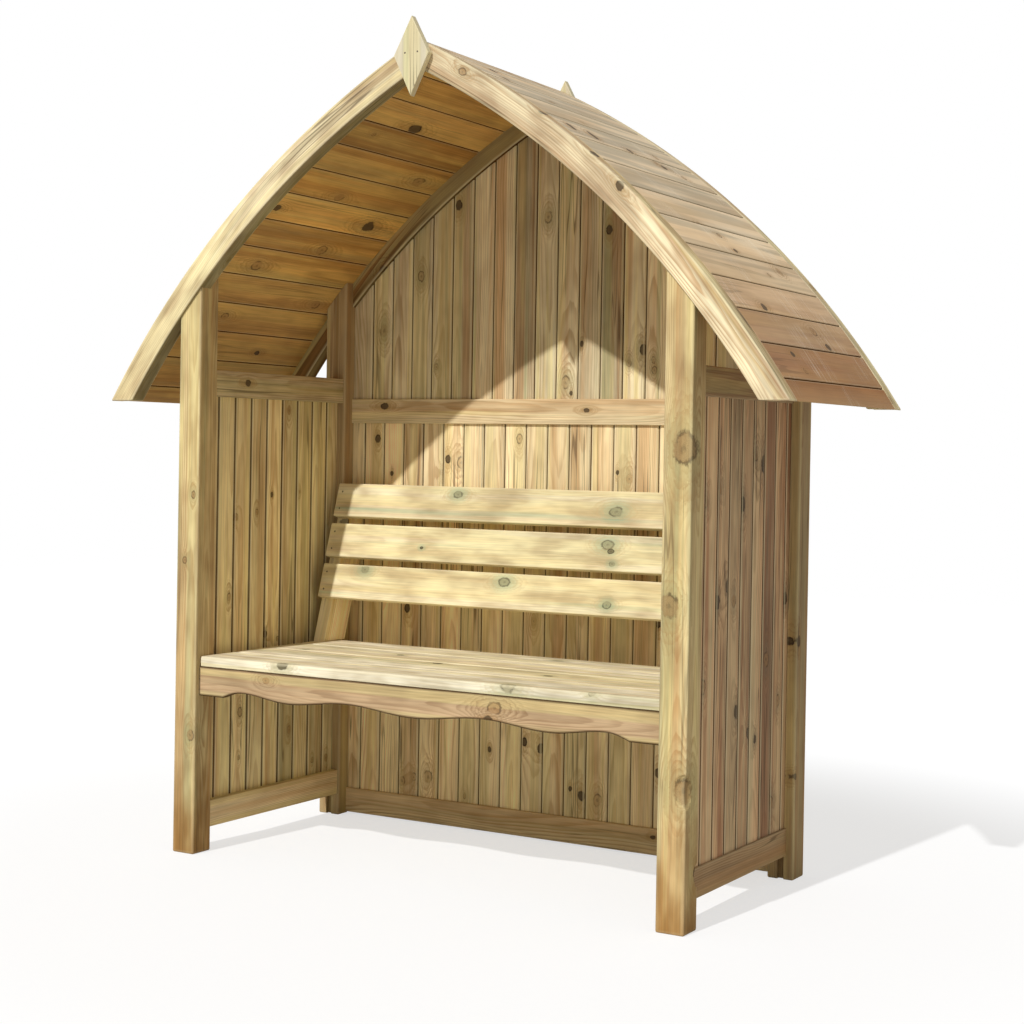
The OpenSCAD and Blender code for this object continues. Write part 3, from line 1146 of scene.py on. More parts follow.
GABLE = Pine(
    "pine_gable_boards", early="e6d8b0", late="a38358", knot="b59a6c", weather=0.25, stain=0.5, hearty=0.6,
    sappy=0.5, streaky=0.6, arris=0.5, branches=2,
)
RAIL = Pine("pine_rail", early="f0dcb0", late="ab7f4a", weather=0.1, arris=0.1, branches=2)
OUTER_RAIL = Pine("pine_outer_rail", early="b0926a", late="82603c", weather=0.3, arris=0.1, branches=1)
SEAT = Pine(
    "pine_seat", early="f2ead0", late="c9b88c", heart="ccb384", knot="8f8660", bark="5a5338", flame="a99a6b",
    figure=0.5, stain=0.5, hearty=0.5, weather=0.1, cracks=0.15, streaky=0.55, mottled=0.7, branches=3,
)
REST = Pine(
    "pine_back_slats", early="ebe0b8", late="c8ac7c", heart="cfae7e", knot="7f7b58", bark="6a6548",
    flame="b3a878", figure=0.35, stain=0.9, green="9fb896", hearty=0.4, weather=0.1, cracks=0.08, streaky=0.25,
    mottled=0.9,
)
# Its arrises are painted dark: a painted shade line along the apron's edges.
APRON = Pine(
    "pine_apron", early="bea27e", late="80603f", heart="9f7a54", green="a8a07c", pale="46300f", ring=0.0034,
    figure=0.6, weather=0.2, cracks=0.1, arris=1.0, branches=3,
)
# Paler than the wood is: painted light for the backrest's supports, which lie in shade.
LIT_BEARER = Pine("pine_bearer", early="f8e8bd", late="c9a56e", branches=2)
ZINC = Steel()


# ---------------------------------------------------------------- parts of the arbour


def named(*words: Enum | str) -> str:
    """A node's name, from its end or side and plain words."""
    return "_".join(word.name.lower() if isinstance(word, Enum) else word for word in words)


@dataclass(frozen=True)
class Arch:
    """The roof line: on each side an arc through the ridge and the eave, its centre past the other side."""

    half: float
    eave: float
    apex: float
    radius: float = 2.380

    @property
    def centre(self) -> tuple[float, float]:
        """The right arc's centre, square off the middle of the chord from ridge to eave.

        Returns:
            The point (x, z).
        """
        dx, dz = self.half, self.eave - self.apex
        length = math.hypot(dx, dz)
        off = math.sqrt(self.radius**2 - length**2 / 4)
        return dx / 2 + off * dz / length, (self.apex + self.eave) / 2 - off * dx / length

    def ridge_turn(self, radius: Array | float) -> Array:
        """The angle at which a circle of that radius meets the plumb plane of the ridge."""
        return np.arccos(-self.centre[0] / radius)

    def eave_turn(self, radius: Array | float) -> Array:
        """The angle at which a circle of that radius meets the level plane of the eaves."""
        return np.arcsin((self.eave - self.centre[1]) / radius)

    def height(self, x: Array, drop: Array | float) -> Array:
        """Height of the roof line at x, let down by drop square to the curve."""
        x0, z0 = self.centre
        return z0 + np.sqrt((self.radius - drop) ** 2 - (np.abs(x) - x0) ** 2)

    def at(self, turn: float) -> Array:
        """Point (x, z) on the right side at an angle."""
        return np.array(self.centre) + self.radius * np.array((math.cos(turn), math.sin(turn)))


@dataclass(frozen=True)
class Dent:
    """A hollow worn or torn out of a timber's arris, as half of an ellipsoid."""

    across: float
    through: float
    along: float
    width: float
    length: float
    deep: float

    def press(self, a: Array, b: Array, l: Array) -> tuple[Array, Array]:
        """Push the surface towards the timber's middle by deep times the root of one minus distance squared.

        Args:
            a, b, l: across, through and along.

        Returns:
            The new a and b.
        """
        away = ((a - self.across) ** 2 + (b - self.through) ** 2) / self.width**2
        push = self.deep * np.sqrt(np.clip(1 - away - ((l - self.along) / self.length) ** 2, 0, None))
        norm = math.hypot(self.across, self.through)
        return a - push * self.across / norm, b - push * self.through / norm

    def rows(self) -> list[float]:
        """Places along the timber where the hollow needs a row."""
        return list(self.along + self.length * np.sin(np.linspace(-math.pi / 2, math.pi / 2, 15)))


@dataclass
class Posts:
    """The four square posts, grooved for the panels and cut to the roof."""

    mill: Sawmill
    arch: Arch
    groove_top: float = 1.267
    back_groove: float = 0.018
    deck_deep: float = 0.015
    rafter_face: float = 0.315
    ease: float = 0.0045
    log_end: float = 1.4

    def build(self) -> None:
        """Make the four posts."""
        for end in End:
            for side in Side:
                self._post(side, end)

    def _section(self, side: Side, end: End, size: Array, step: float) -> Section:
        """A square with its grooves, and with points on both sides of the step at its top.

        Args:
            side, end: which post it is.
            size: the post's size.
            step: where the step lies through the section.

        Returns:
            The section.
        """
        grooves = [(Face.OVER if end is End.FRONT else Face.UNDER, 0.0)]
        if end is End.BACK:
            across = Face.LEFT if side is Side.RIGHT else Face.RIGHT
            grooves.append((across, self.back_groove * (1 if across is Face.RIGHT else -1)))
        marks = [(f, s * step + off) for f, s in ((Face.RIGHT, 1), (Face.LEFT, -1)) for off in (-HAIR, HAIR)]
        section = planed(size[0], size[1], self.ease, grooves, marks, fill=0.006)
        # A right post's right face, turned from the light, gets painted shade.
        return section.shade_face(Face.RIGHT, 0.2) if side is Side.RIGHT else section

    def _post(self, side: Side, end: End) -> None:
        """One post: its outer part stops under the rafter, its inner part under the roof boards.

        Args:
            side, end: which post it is.
        """
        node = named(end, side, "post")
        box, out = Box.of(node), end.value
        middle, size = box.middle, box.size
        step = out * self.rafter_face - middle[1]
        section = self._section(side, end, size, step)
        outer = (section.points[:, 1] - step) * out > 0
        start = int(np.flatnonzero(outer & ~np.roll(outer, 1))[0])
        order = np.roll(np.arange(len(outer)), -start)
        runs = [i for i in order if outer[i]], [i for i in order if not outer[i]]

        def top(a: Array, b: Array) -> Array:
            """Height of the post's top at each point of its outline."""
            drop = np.where((b - step) * out > 0, RAFTER_DEEP, self.deck_deep)
            return self.arch.height(middle[0] + a, drop)

        dents = DENTS.get(node, ())

        def form(a: Array, b: Array, l: Array) -> tuple[Array, Array]:
            """Close the side groove above the panel, and press in the hollows.

            Args:
                a, b, l: across, through and along.

            Returns:
                The new a and b.
            """
            floor = (np.abs(a) < GROOVE / 2 + 1e-5) & (-out * b > size[1] / 2 - 1.2 * GROOVE_DEEP)
            b = np.where(floor & (l > self.groove_top), -out * (size[1] / 2 - 5e-5), b)
            for dent in dents:
                a, b = dent.press(a, b, l)
            return a, b

        timber = self.mill.timber(
            size[0], size[1], 0.0, self.log_end, 0.8, (0.006, 0.012), node, core=size[0] / 2
        )
        rows = [self.groove_top, self.groove_top + 0.0004, *(r for dent in dents for r in dent.rows())]
        place = Lie((middle[0], middle[1], 0.0), *np.eye(3))
        piece = Piece(node, POST if end is End.FRONT else BACK_POST, "post_timber")
        piece.build(lay(section, 0.0, top, place, timber, 6, rows, (self.ease, 0.0), form, split=runs))


def rail(
    mill: Sawmill,
    node: str,
    finish: Pine,
    run: int,
    face: float,
    knots: float,
    faces: Sequence[Face],
    off: float = 0.0,
) -> None:
    """A rail with a tongue on each end, grooved for the boards.

    Args:
        mill: where its timber comes from.
        node: its construction node.
        finish: its finish.
        run: 0 if it runs along X, 1 along Y.
        face: how far from the middle the posts' faces are, where it changes to its tongues.
        knots: knots for each metre.
        faces: the grooved faces.
        off: how far the tongues and grooves lie from the rail's middle.
    """
    box = Box.of(node)
    wide, deep = box.size[1 - run], box.size[2]
    section = planed(wide, deep, 0.0025, [(f, -off if f is Face.OVER else off) for f in faces])
    timber = mill.timber(wide, deep, -face, face, knots, node=node)
    stub = planed(TONGUE, deep, 0.0)
    stub = Section(stub.points + np.array((off, 0.0)), stub.inward, stub.wear)
    cuts = ((section, -face, face, 4), (stub, box.lo[run], -face, 0), (stub, face, box.hi[run], 0))
    shells = (lay(part, a, b, box.lie(run), timber, rows) for part, a, b, rows in cuts)
    Piece(node, finish, "rail_timber").build(*shells)


def joints_between(lo: float, hi: float, first: float, cover: float, clear: float) -> list[float]:
    """The joint lines of a run of boards, with both plain edges at the ends."""
    lines = first + cover * np.arange(math.ceil((hi - first) / cover) + 1)
    return [lo, *(float(x) for x in lines if lo + clear < x < hi - clear), hi]


@dataclass
class Boarding:
    """A run of boards side by side on the faces between posts.

    cover is what one board covers; first is the first joint, from face, where the first post's face is.
    """

    mill: Sawmill
    board: Matchboard
    face: float
    first: float
    cover: float = 0.068
    log_end: float = 1.4

    def build(
        self, node: str, finish: Pine, run: int, high: Cut | None = None, stops: Sequence[float] = ()
    ) -> None:
        """Make the boards.

        Args:
            node: their construction node.
            finish: their finish.
            run: the axis that they follow each other on, 0 for X or 1 for Y.
            high: where they end, if they aren't cut level.
            stops: places across where the faces need a point.
        """
        box, axes = Box.of(node), np.eye(3)
        through = axes[1] if run == 0 else -axes[0]
        place = Lie(box.middle * axes[1 - run], axes[run], through, axes[2])
        low, top = box.lo[2], self.log_end if high else box.hi[2]
        clear = 2 * self.board.vee
        joints = joints_between(box.lo[run], box.hi[run], self.first - self.face, self.cover, clear)
        shells = []
        for i, (left, right) in enumerate(zip(joints, joints[1:])):
            section = self.board.section(left, right, i == 0, i == len(joints) - 2, stops=stops)
            own = [k for k in KNOTS.get(node, ()) if left <= k.across < right]
            size, middle = (right - left, self.board.thick), (left + right) / 2
            timber = self.mill.timber(*size, low, top, 0.3, (0.003, 0.008), placed=own, middle=middle)
            shells.append(lay(section, low, high or top, place, timber, rows=3))
        Piece(node, finish, "panel_boards").build(*shells)


@dataclass
class SidePanels:
    """Each side: two rails with tongues in the posts, and boards between them."""

    mill: Sawmill
    board: Matchboard = Matchboard(0.016, 0.004, clean_and_lit=0.35, dirt_and_shade=0.85)
    firsts: tuple[float, float] = (0.041, 0.065)
    face: float = 0.283
    tongue_middle: float = 0.705

    def build(self) -> None:
        """Make both sides."""
        for side, first in zip(Side, self.firsts):
            left = side is Side.LEFT
            for level, groove in (("bottom", Face.OVER), ("top", Face.UNDER)):
                node = named(side, level, "rail")
                off = side.value * self.tongue_middle - Box.of(node).middle[0]
                rail(self.mill, node, RAIL if left else OUTER_RAIL, 1, self.face, 1.0, [groove], off)
            boards = Boarding(self.mill, self.board, self.face, first)
            boards.build(named(side, "panel"), INNER if left else OUTER, 1)


@dataclass
class BackPanel:
    """The back: two rails with tongues, boards between them, and gable boards cut to the rafters."""

    mill: Sawmill
    arch: Arch
    board: Matchboard = Matchboard(0.016, 0.004, gap=0.0018)
    lower_first: float = 0.041
    gable_first: float = 0.064
    face: float = 0.670

    def build(self) -> None:
        """Make the rails and both runs of boards."""
        for node, grooves in (("back_bottom_rail", [Face.OVER]), ("back_mid_rail", [Face.OVER, Face.UNDER])):
            rail(self.mill, node, RAIL, 0, self.face, 0.8, grooves)
        lower = Boarding(self.mill, self.board, self.face, self.lower_first)
        lower.build("back_lower_panel", PANEL, 0)
        gable = Boarding(self.mill, self.board, self.face, self.gable_first)
        gable.build("back_gable_panel", GABLE, 0, self._top, (0.0,))

    def _top(self, a: Array, b: Array) -> Array:
        """Height of the gable boards' tops."""
        return self.arch.height(a, RAFTER_DEEP)


@dataclass
class Roof:
    """The curved rafters, the boards between them and the diamond finials."""

    mill: Sawmill
    arch: Arch
    cover: float = 0.097
    board: Matchboard = Matchboard(0.014, 0.002)
    head: float = 0.0005
    plate: float = 0.092

    def build(self) -> None:
        """Make every piece of the roof."""
        for end in End:
            for side in Side:
                self._rafter(side, end)
            self._finial(end)
        for side in Side:
            self._deck(side)

    def _rafter(self, side: Side, end: End) -> None:
        """One rafter: its section turns about the arc's centre.

        Args:
            side, end: which rafter it is.
        """
        node = named(end, side, "rafter")
        box, (x0, z0) = Box.of(node), self.arch.centre
        mid, wide = self.arch.radius - RAFTER_DEEP / 2, box.size[1]
        turn = float(self.arch.ridge_turn(mid))
        # The under face gets a painted shadow.
        section = planed(wide, RAFTER_DEEP, 0.0035, fill=0.006).shade_face(Face.UNDER, 0.72)

        def place(a: Array, b: Array, l: Array) -> Array:
            """A point at radius mid + b, an arc length l down from the ridge.

            Args:
                a, b, l: across, through and along.

            Returns:
                The points.
            """
            angle = turn - l / mid
            x, z = x0 + (mid + b) * np.cos(angle), z0 + (mid + b) * np.sin(angle)
            return np.stack([side.value * x, box.middle[1] + a, z], axis=-1)

        def figure(a: Array, b: Array, l: Array) -> Array:
            """The grain runs with the arc, apart from a slow drift and a gentle wave across the face."""
            return np.stack([a, b + 0.02 * (l - 0.6) + 0.006 * np.sin(7 * l + 1.0), l], axis=-1)

        def ridge(a: Array, b: Array) -> Array:
            """Arc length at which the plumb cut meets each point of the section."""
            return (turn - self.arch.ridge_turn(mid + b)) * mid

        def eave(a: Array, b: Array) -> Array:
            """Arc length at which the level cut meets each point of the section."""
            return (turn - self.arch.eave_turn(mid + b)) * mid

        placed = []
        for k in KNOTS.get(node, ()):
            across, through, along = figure(*(np.array(v) for v in (k.across, k.through, k.along))).tolist()
            placed.append(Knot(along, across, through, k.radius, k.dead))
        timber = self.mill.timber(wide, RAFTER_DEEP, 0.0, 1.3, 0.8, (0.005, 0.009), node, placed=placed)
        # The back left rafter takes the copy with painted shade.
        pale = end is End.FRONT or side is Side.RIGHT
        piece = Piece(node, RAFTER if pale else SHADED_RAFTER, "rafter_timber")
        piece.build(lay(section, ridge, eave, place, timber, rows=72, figure=figure, ease=(0.0, 0.0025)))

    def _deck(self, side: Side) -> None:
        """The roof boards of one side. Each lies flat on the arc's chord from joint to joint.

        Args:
            side: which side it is.
        """
        node = named(side, "roof_deck")
        box, half = Box.of(node), self.board.thick / 2
        turn, last = (float(f(self.arch.radius)) for f in (self.arch.ridge_turn, self.arch.eave_turn))
        step = self.cover / self.arch.radius
        count = math.ceil((turn - last) / step)
        shells = []
        for i in range(count):
            a, b = self.arch.at(turn - i * step), self.arch.at(turn - (i + 1) * step)
            width = float(np.linalg.norm(b - a))
            down = (b - a) / width
            out = np.array((-down[1], down[0]))
            centre = a - out * half
            section = self.board.section(0.0, width, plain_left=i == 0, over=1.0)
            if i == 0:
                section = section.clip(-down[0], -out[0], centre[0])
            if i == count - 1:
                section = section.clip(-down[1], -out[1], centre[1] - self.arch.eave)
            place = Lie(*((side.value * v[0], 0.0, v[1]) for v in (centre, down, out)), (0.0, 1.0, 0.0))
            timber = self.mill.timber(
                width, self.board.thick, box.lo[1], box.hi[1], 1.2, middle=width / 2,
                placed=[k for row, k in DECK_KNOTS[side] if row == i], look=DECK_LOOKS[side][i],
                weather=float(np.interp(i, (0, 8, 10, 13), (0.8, 0.75, 0.4, 0.0))),
            )
            shells.append(lay(section, box.lo[1], box.hi[1], place, timber, rows=2))
        Piece(node, DECK, "roof_boards").build(*shells)

    def _finial(self, end: End) -> None:
        """A diamond plate over the rafters' joint, nailed through twice.

        Args:
            end: which end it is.
        """
        node = named(end, "finial")
        box = Box.of(node)
        lo, hi, middle = box.lo, box.hi, box.middle[0]
        level = hi[2] - self.plate
        corners = [(middle, lo[2]), (hi[0], level), (middle, hi[2]), (lo[0], level)]
        place = Lie(np.zeros(3), *np.eye(3)[[0, 2, 1]])

        def figure(a: Array, b: Array, l: Array) -> Array:
            """The grain of the plate runs upright."""
            return np.stack([a, l - lo[1], b], axis=-1)

        timber = self.mill.timber(box.size[0], box.size[1], lo[2], hi[2], knots=0.0)
        near, far = (lo[1] + self.head, hi[1]) if end is End.FRONT else (lo[1], hi[1] - self.head)
        plate = lay(outlined(corners), near, far, place, timber, 1, ease=SAWN, figure=figure)
        Piece(node, FINIAL, "finial_timber").build(plate)
        face = near if end is End.FRONT else far
        spots = [(middle + x, face, level + 0.004) for x in (-0.017, 0.019)]
        nails(spots, (0.0, float(end.value), 0.0), 0.0024, node, "finial_timber")


@dataclass
class Seat:
    """The seat: slats over bearers, with a scalloped apron under the front edge."""

    mill: Sawmill
    slats: int = 4
    turns: tuple[tuple[float, float], ...] = ((0.0, 0.0), (0.296, 1.0), (0.569, 0.05), (0.791, 1.0))
    tab: float = 0.881
    scallop: float = 0.016

    def build(self) -> None:
        """Make the slats, the apron and the bearers."""
        for i in range(1, self.slats + 1):
            self._slat(i)
        self._apron()
        for place in ("left", "right", "middle"):
            self._bearer(named(place, "seat_bearer"), run=1)
        self._bearer("back_seat_bearer", run=0)

    def _slat(self, i: int) -> None:
        """One slat: its upper arrises are rounded, and its ends lie a few millimetres out of line.

        Args:
            i: its number from the front.
        """
        node = f"seat_slat_{i}"
        box = Box.of(node)
        (_, wide, deep), lo, hi = box.size, box.lo[0], box.hi[0]
        section = planed(wide, deep, (0.002, 0.005, 0.005, 0.002), fill=0.03)
        timber = self.mill.timber(wide, deep, lo, hi, 1.6, (0.006, 0.013), node)
        ends = (lo + END_GAP + self.mill.spread(0.004), hi - END_GAP - self.mill.spread(0.002))
        Piece(node, SEAT, "seat_boards").build(lay(section, *ends, box.lie(0), timber, ease=SAWN))

    def _edge(self, share: Array) -> Array:
        """Height of the apron's lower edge.

        Between the turning points it follows half waves, which flatten at both ends; the last one falls to
        the end tab along a quarter wave.

        Args:
            share: shares of half the apron's length.

        Returns:
            Heights, in scallops.
        """
        s = np.abs(share)
        out = np.where(s > self.tab, 0.0, 1.0)
        for (x0, y0), (x1, y1) in zip(self.turns, self.turns[1:]):
            t = np.clip((s - x0) / (x1 - x0), 0, 1)
            wave = (y0 + y1) / 2 + (y0 - y1) / 2 * np.cos(np.pi * t)
            out = np.where((s >= x0) & (s < x1), wave, out)
        x0 = self.turns[-1][0]
        t = np.clip((s - x0) / (self.tab - x0), 0, 1)
        return np.where((s >= x0) & (s <= self.tab), np.cos(np.pi / 2 * t), out)

    def _apron(self) -> None:
        """The apron: the lower half of its section rises and falls along the edge's line."""
        node = "seat_apron"
        box = Box.of(node)
        (_, wide, deep), lo, hi = box.size, box.lo[0], box.hi[0]
        # The under face and its lower arris get painted shade.
        section = planed(wide, deep, 0.0035, fill=0.012).shade_face(Face.UNDER, 0.8)

        def form(a: Array, b: Array, l: Array) -> tuple[Array, Array]:
            """Draw the section up towards its top edge by the height of the lower edge."""
            lift = self._edge(l / hi) * self.scallop
            return a, deep / 2 - (deep / 2 - b) * (1 - lift / deep)

        timber = self.mill.timber(wide, deep, lo, hi, 0.8, (0.004, 0.009), node)
        tabs = [s * hi * (self.tab - d) for s in (-1, 1) for d in (0.0, 0.001, 0.003, 0.006, 0.01)]
        ends = (lo + 0.001, hi - 0.001)
        shell = lay(section, *ends, box.lie(0), timber, 120, tabs, (0.001, 0.001), form)
        Piece(node, APRON, "apron_timber").build(shell)

    def _bearer(self, node: str, run: int) -> None:
        """A plain bearer.

        Args:
            node: its construction node.
            run: 0 if it runs along X, 1 along Y.
        """
        box = Box.of(node)
        wide, deep, ends = box.size[1 - run], box.size[2], (box.lo[run], box.hi[run])
        timber = self.mill.timber(wide, deep, *ends, 1.5)
        shell = lay(planed(wide, deep, 0.0025), *ends, box.lie(run), timber, rows=2)
        Piece(node, LIT_BEARER, "bearer_timber").build(shell)


@dataclass
class Backrest:
    """The leaning backrest: two supports that stand on the seat, and three slats.

    start is where the lowest slat begins on the supports, pitch the step from slat to slat, and below how
    far the supports end under the top slat's upper edge.
    """

    mill: Sawmill
    lean: float = math.radians(17)
    behind: float = 0.178
    support_deep: float = 0.095
    start: float = 0.125
    pitch: float = 0.119
    wide: float = 0.098
    thick: float = 0.025
    below: float = 0.012
    slats: int = 3
    ease: float = 0.003

    def build(self) -> None:
        """Make the supports and the slats."""
        box = Box.of("left_back_support")
        self.wall = box.hi[1]
        self.foot = np.array((self.wall - self.behind, box.lo[2]))
        self.up = np.array((math.sin(self.lean), math.cos(self.lean)))
        self.back = np.array((math.cos(self.lean), -math.sin(self.lean)))
        for side in Side:
            self._support(side)
        for i in range(1, self.slats + 1):
            self._slat(i)

    def _support(self, side: Side) -> None:
        """A plate sawn level at the foot and plumb where it meets the back boards.

        Args:
            side: which side it is.
        """
        node = named(side, "back_support")
        box, deep = Box.of(node), self.support_deep
        long = self.start + (self.slats - 1) * self.pitch + self.wide - self.below
        ends = ((0, -deep), (deep, -deep), (deep, long), (0, long))
        corners = [self.foot + self.back * u + self.up * v for u, v in ends]
        square = Section(np.array(corners), np.zeros((4, 2)), np.zeros((4, 3)))
        shape = square.clip(0.0, -1.0, -self.foot[1]).clip(1.0, 0.0, self.wall)
        place = Lie(np.zeros(3), *np.eye(3)[[1, 2, 0]])

        def figure(a: Array, b: Array, l: Array) -> Array:
            """The grain runs up along the lean."""
            from_foot = np.stack([a, b], axis=-1) - self.foot
            return np.stack([from_foot @ self.back - deep / 2, l - box.middle[0], from_foot @ self.up], axis=-1)

        timber = self.mill.timber(deep, box.size[0], 0.0, 0.45, 2.0, node=node)
        ends = (box.lo[0], box.hi[0])
        shell = lay(outlined(shape.points), *ends, place, timber, 1, ease=SAWN, figure=figure)
        Piece(node, LIT_BEARER, "bearer_timber").build(shell)

    def _slat(self, i: int) -> None:
        """One slat on the supports' front edge, nailed through into each.

        Args:
            i: its number from the top.
        """
        node = f"back_slat_{i}"
        box = Box.of(node)
        lo, hi = box.lo[0], box.hi[0]
        low = self.foot + self.up * (self.start + (self.slats - i) * self.pitch)
        middle = low + self.up * self.wide / 2 - self.back * self.thick / 2
        place = Lie((0.0, *middle), (0.0, *self.up), (0.0, *-self.back), (1, 0, 0))
        section = planed(self.wide, self.thick, self.ease, fill=0.03)
        timber = self.mill.timber(self.wide, self.thick, lo, hi, 0.4, (0.006, 0.011), node)
        ends = (lo + END_GAP + self.mill.spread(0.003), hi - END_GAP)
        Piece(node, REST, "seat_boards").build(lay(section, *ends, place, timber, ease=SAWN))
        face = middle - self.back * self.thick / 2
        spots = [(x, *(face + self.up * off)) for x in (lo + 0.019, hi - 0.019) for off in (-0.026, 0.024)]
        nails(spots, (0.0, *-self.back), 0.0026, node, "seat_boards")


def nails(spots: Sequence[Spot], out: Sequence[float], radius: float, node: str, slot: str) -> None:
    """Nail heads: each a low dome whose height falls as the square of the distance from its middle.

    Args:
        spots: middles of the heads.
        out: the direction that they face.
        radius: radius of a head.
        node: the node that they are driven into.
        slot: that node's material slot.
    """
    out, side = np.array(out), np.array((1.0, 0.0, 0.0))
    turn = np.linspace(0, 2 * math.pi, 13)[:-1, None]
    round_it = np.cos(turn) * side + np.sin(turn) * np.cross(out, side)
    profile = ((1.0, -0.6), (1.0, 0.0), (0.8, 0.1), (0.4, 0.16))
    k, top = len(turn), (len(profile) - 1) * len(turn)
    caps = [list(range(k))[::-1], [top + n for n in range(k)]]
    shells = []
    for spot in spots:
        points = np.concatenate([np.array(spot) + radius * (r * round_it + h * out) for r, h in profile])
        quads = sleeve(k, len(profile))
        shells.append(Shell(points, quads, caps, points.copy(), np.zeros_like(points), Timber()).face_out())
    Piece(f"{node}_nails", ZINC, slot, (node,)).build(*shells)


# ---------------------------------------------------------------- where the timbers are marked

DENTS: dict[str, tuple[Dent, ...]] = {
    "front_right_post": (
        Dent(across=0.035, through=-0.035, along=0.318, width=0.028, length=0.040, deep=0.013),
        Dent(across=0.035, through=0.035, along=0.125, width=0.016, length=0.028, deep=0.011),
    )
}

# Tone and hue of the timbers that are neither lighter nor browner by chance.
LOOKS: dict[str, tuple[float, float]] = {
    # left_back_support is lighter still: painted light where it lies in shade.
    "front_left_rafter": (0.1, -0.5), "front_right_rafter": (0.0, 0.3), "left_back_support": (1.3, 0.0),
    "front_left_post": (-0.5, -0.2), "front_right_post": (0.0, 0.2),
    "back_slat_1": (-0.5, 0.2), "back_slat_2": (-0.3, -0.3), "back_slat_3": (0.0, 0.3),
    "seat_slat_1": (0.1, -0.3), "seat_slat_2": (0.0, 0.4), "seat_slat_3": (0.2, -0.2), "seat_slat_4": (0.0, 0.3),
    "left_top_rail": (-1.6, 0.2), "left_bottom_rail": (0.5, 0.3),
    "right_top_rail": (-1.2, 0.4), "right_bottom_rail": (-0.3, 0.3),
    "back_mid_rail": (-0.3, 0.2), "back_bottom_rail": (0.2, 0.3),
}

# Tone and hue of each roof board from the ridge down.
DECK_LOOKS: dict[Side, tuple[tuple[float, float], ...]] = {
    Side.LEFT: (
        (-0.3, 0.2), (0.0, 0.3), (0.6, -0.9), (-1.2, 0.5), (-0.3, 0.2), (-0.5, 0.3), (0.9, -1.2),
        (-0.5, 0.3), (-0.3, 0.0), (-0.6, 0.3), (-0.2, 0.4), (-0.1, 0.6), (-0.2, 0.6), (0.0, 0.5),
    ),
    Side.RIGHT: (
        (0.1, 0.2), (0.4, -0.2), (-0.2, 0.3), (0.4, -0.4), (0.0, 0.1), (0.6, 0.0), (0.3, -0.3),
        (1.5, 0.0), (1.5, 0.2), (1.0, 0.3), (0.9, 0.6), (0.0, 0.9), (-0.6, 1.0), (-0.8, 1.2),
    ),
}


def at(*spots: tuple[float, ...], through: float | None = None) -> tuple[Knot, ...]:
    """Knots as (along, across, through, radius), without through if all share it, and with 1 if dead."""
    rows = (spot if through is None else (*spot[:2], through, *spot[2:]) for spot in spots)
    return tuple(Knot(*row[:4], dead=len(row) > 4) for row in rows)


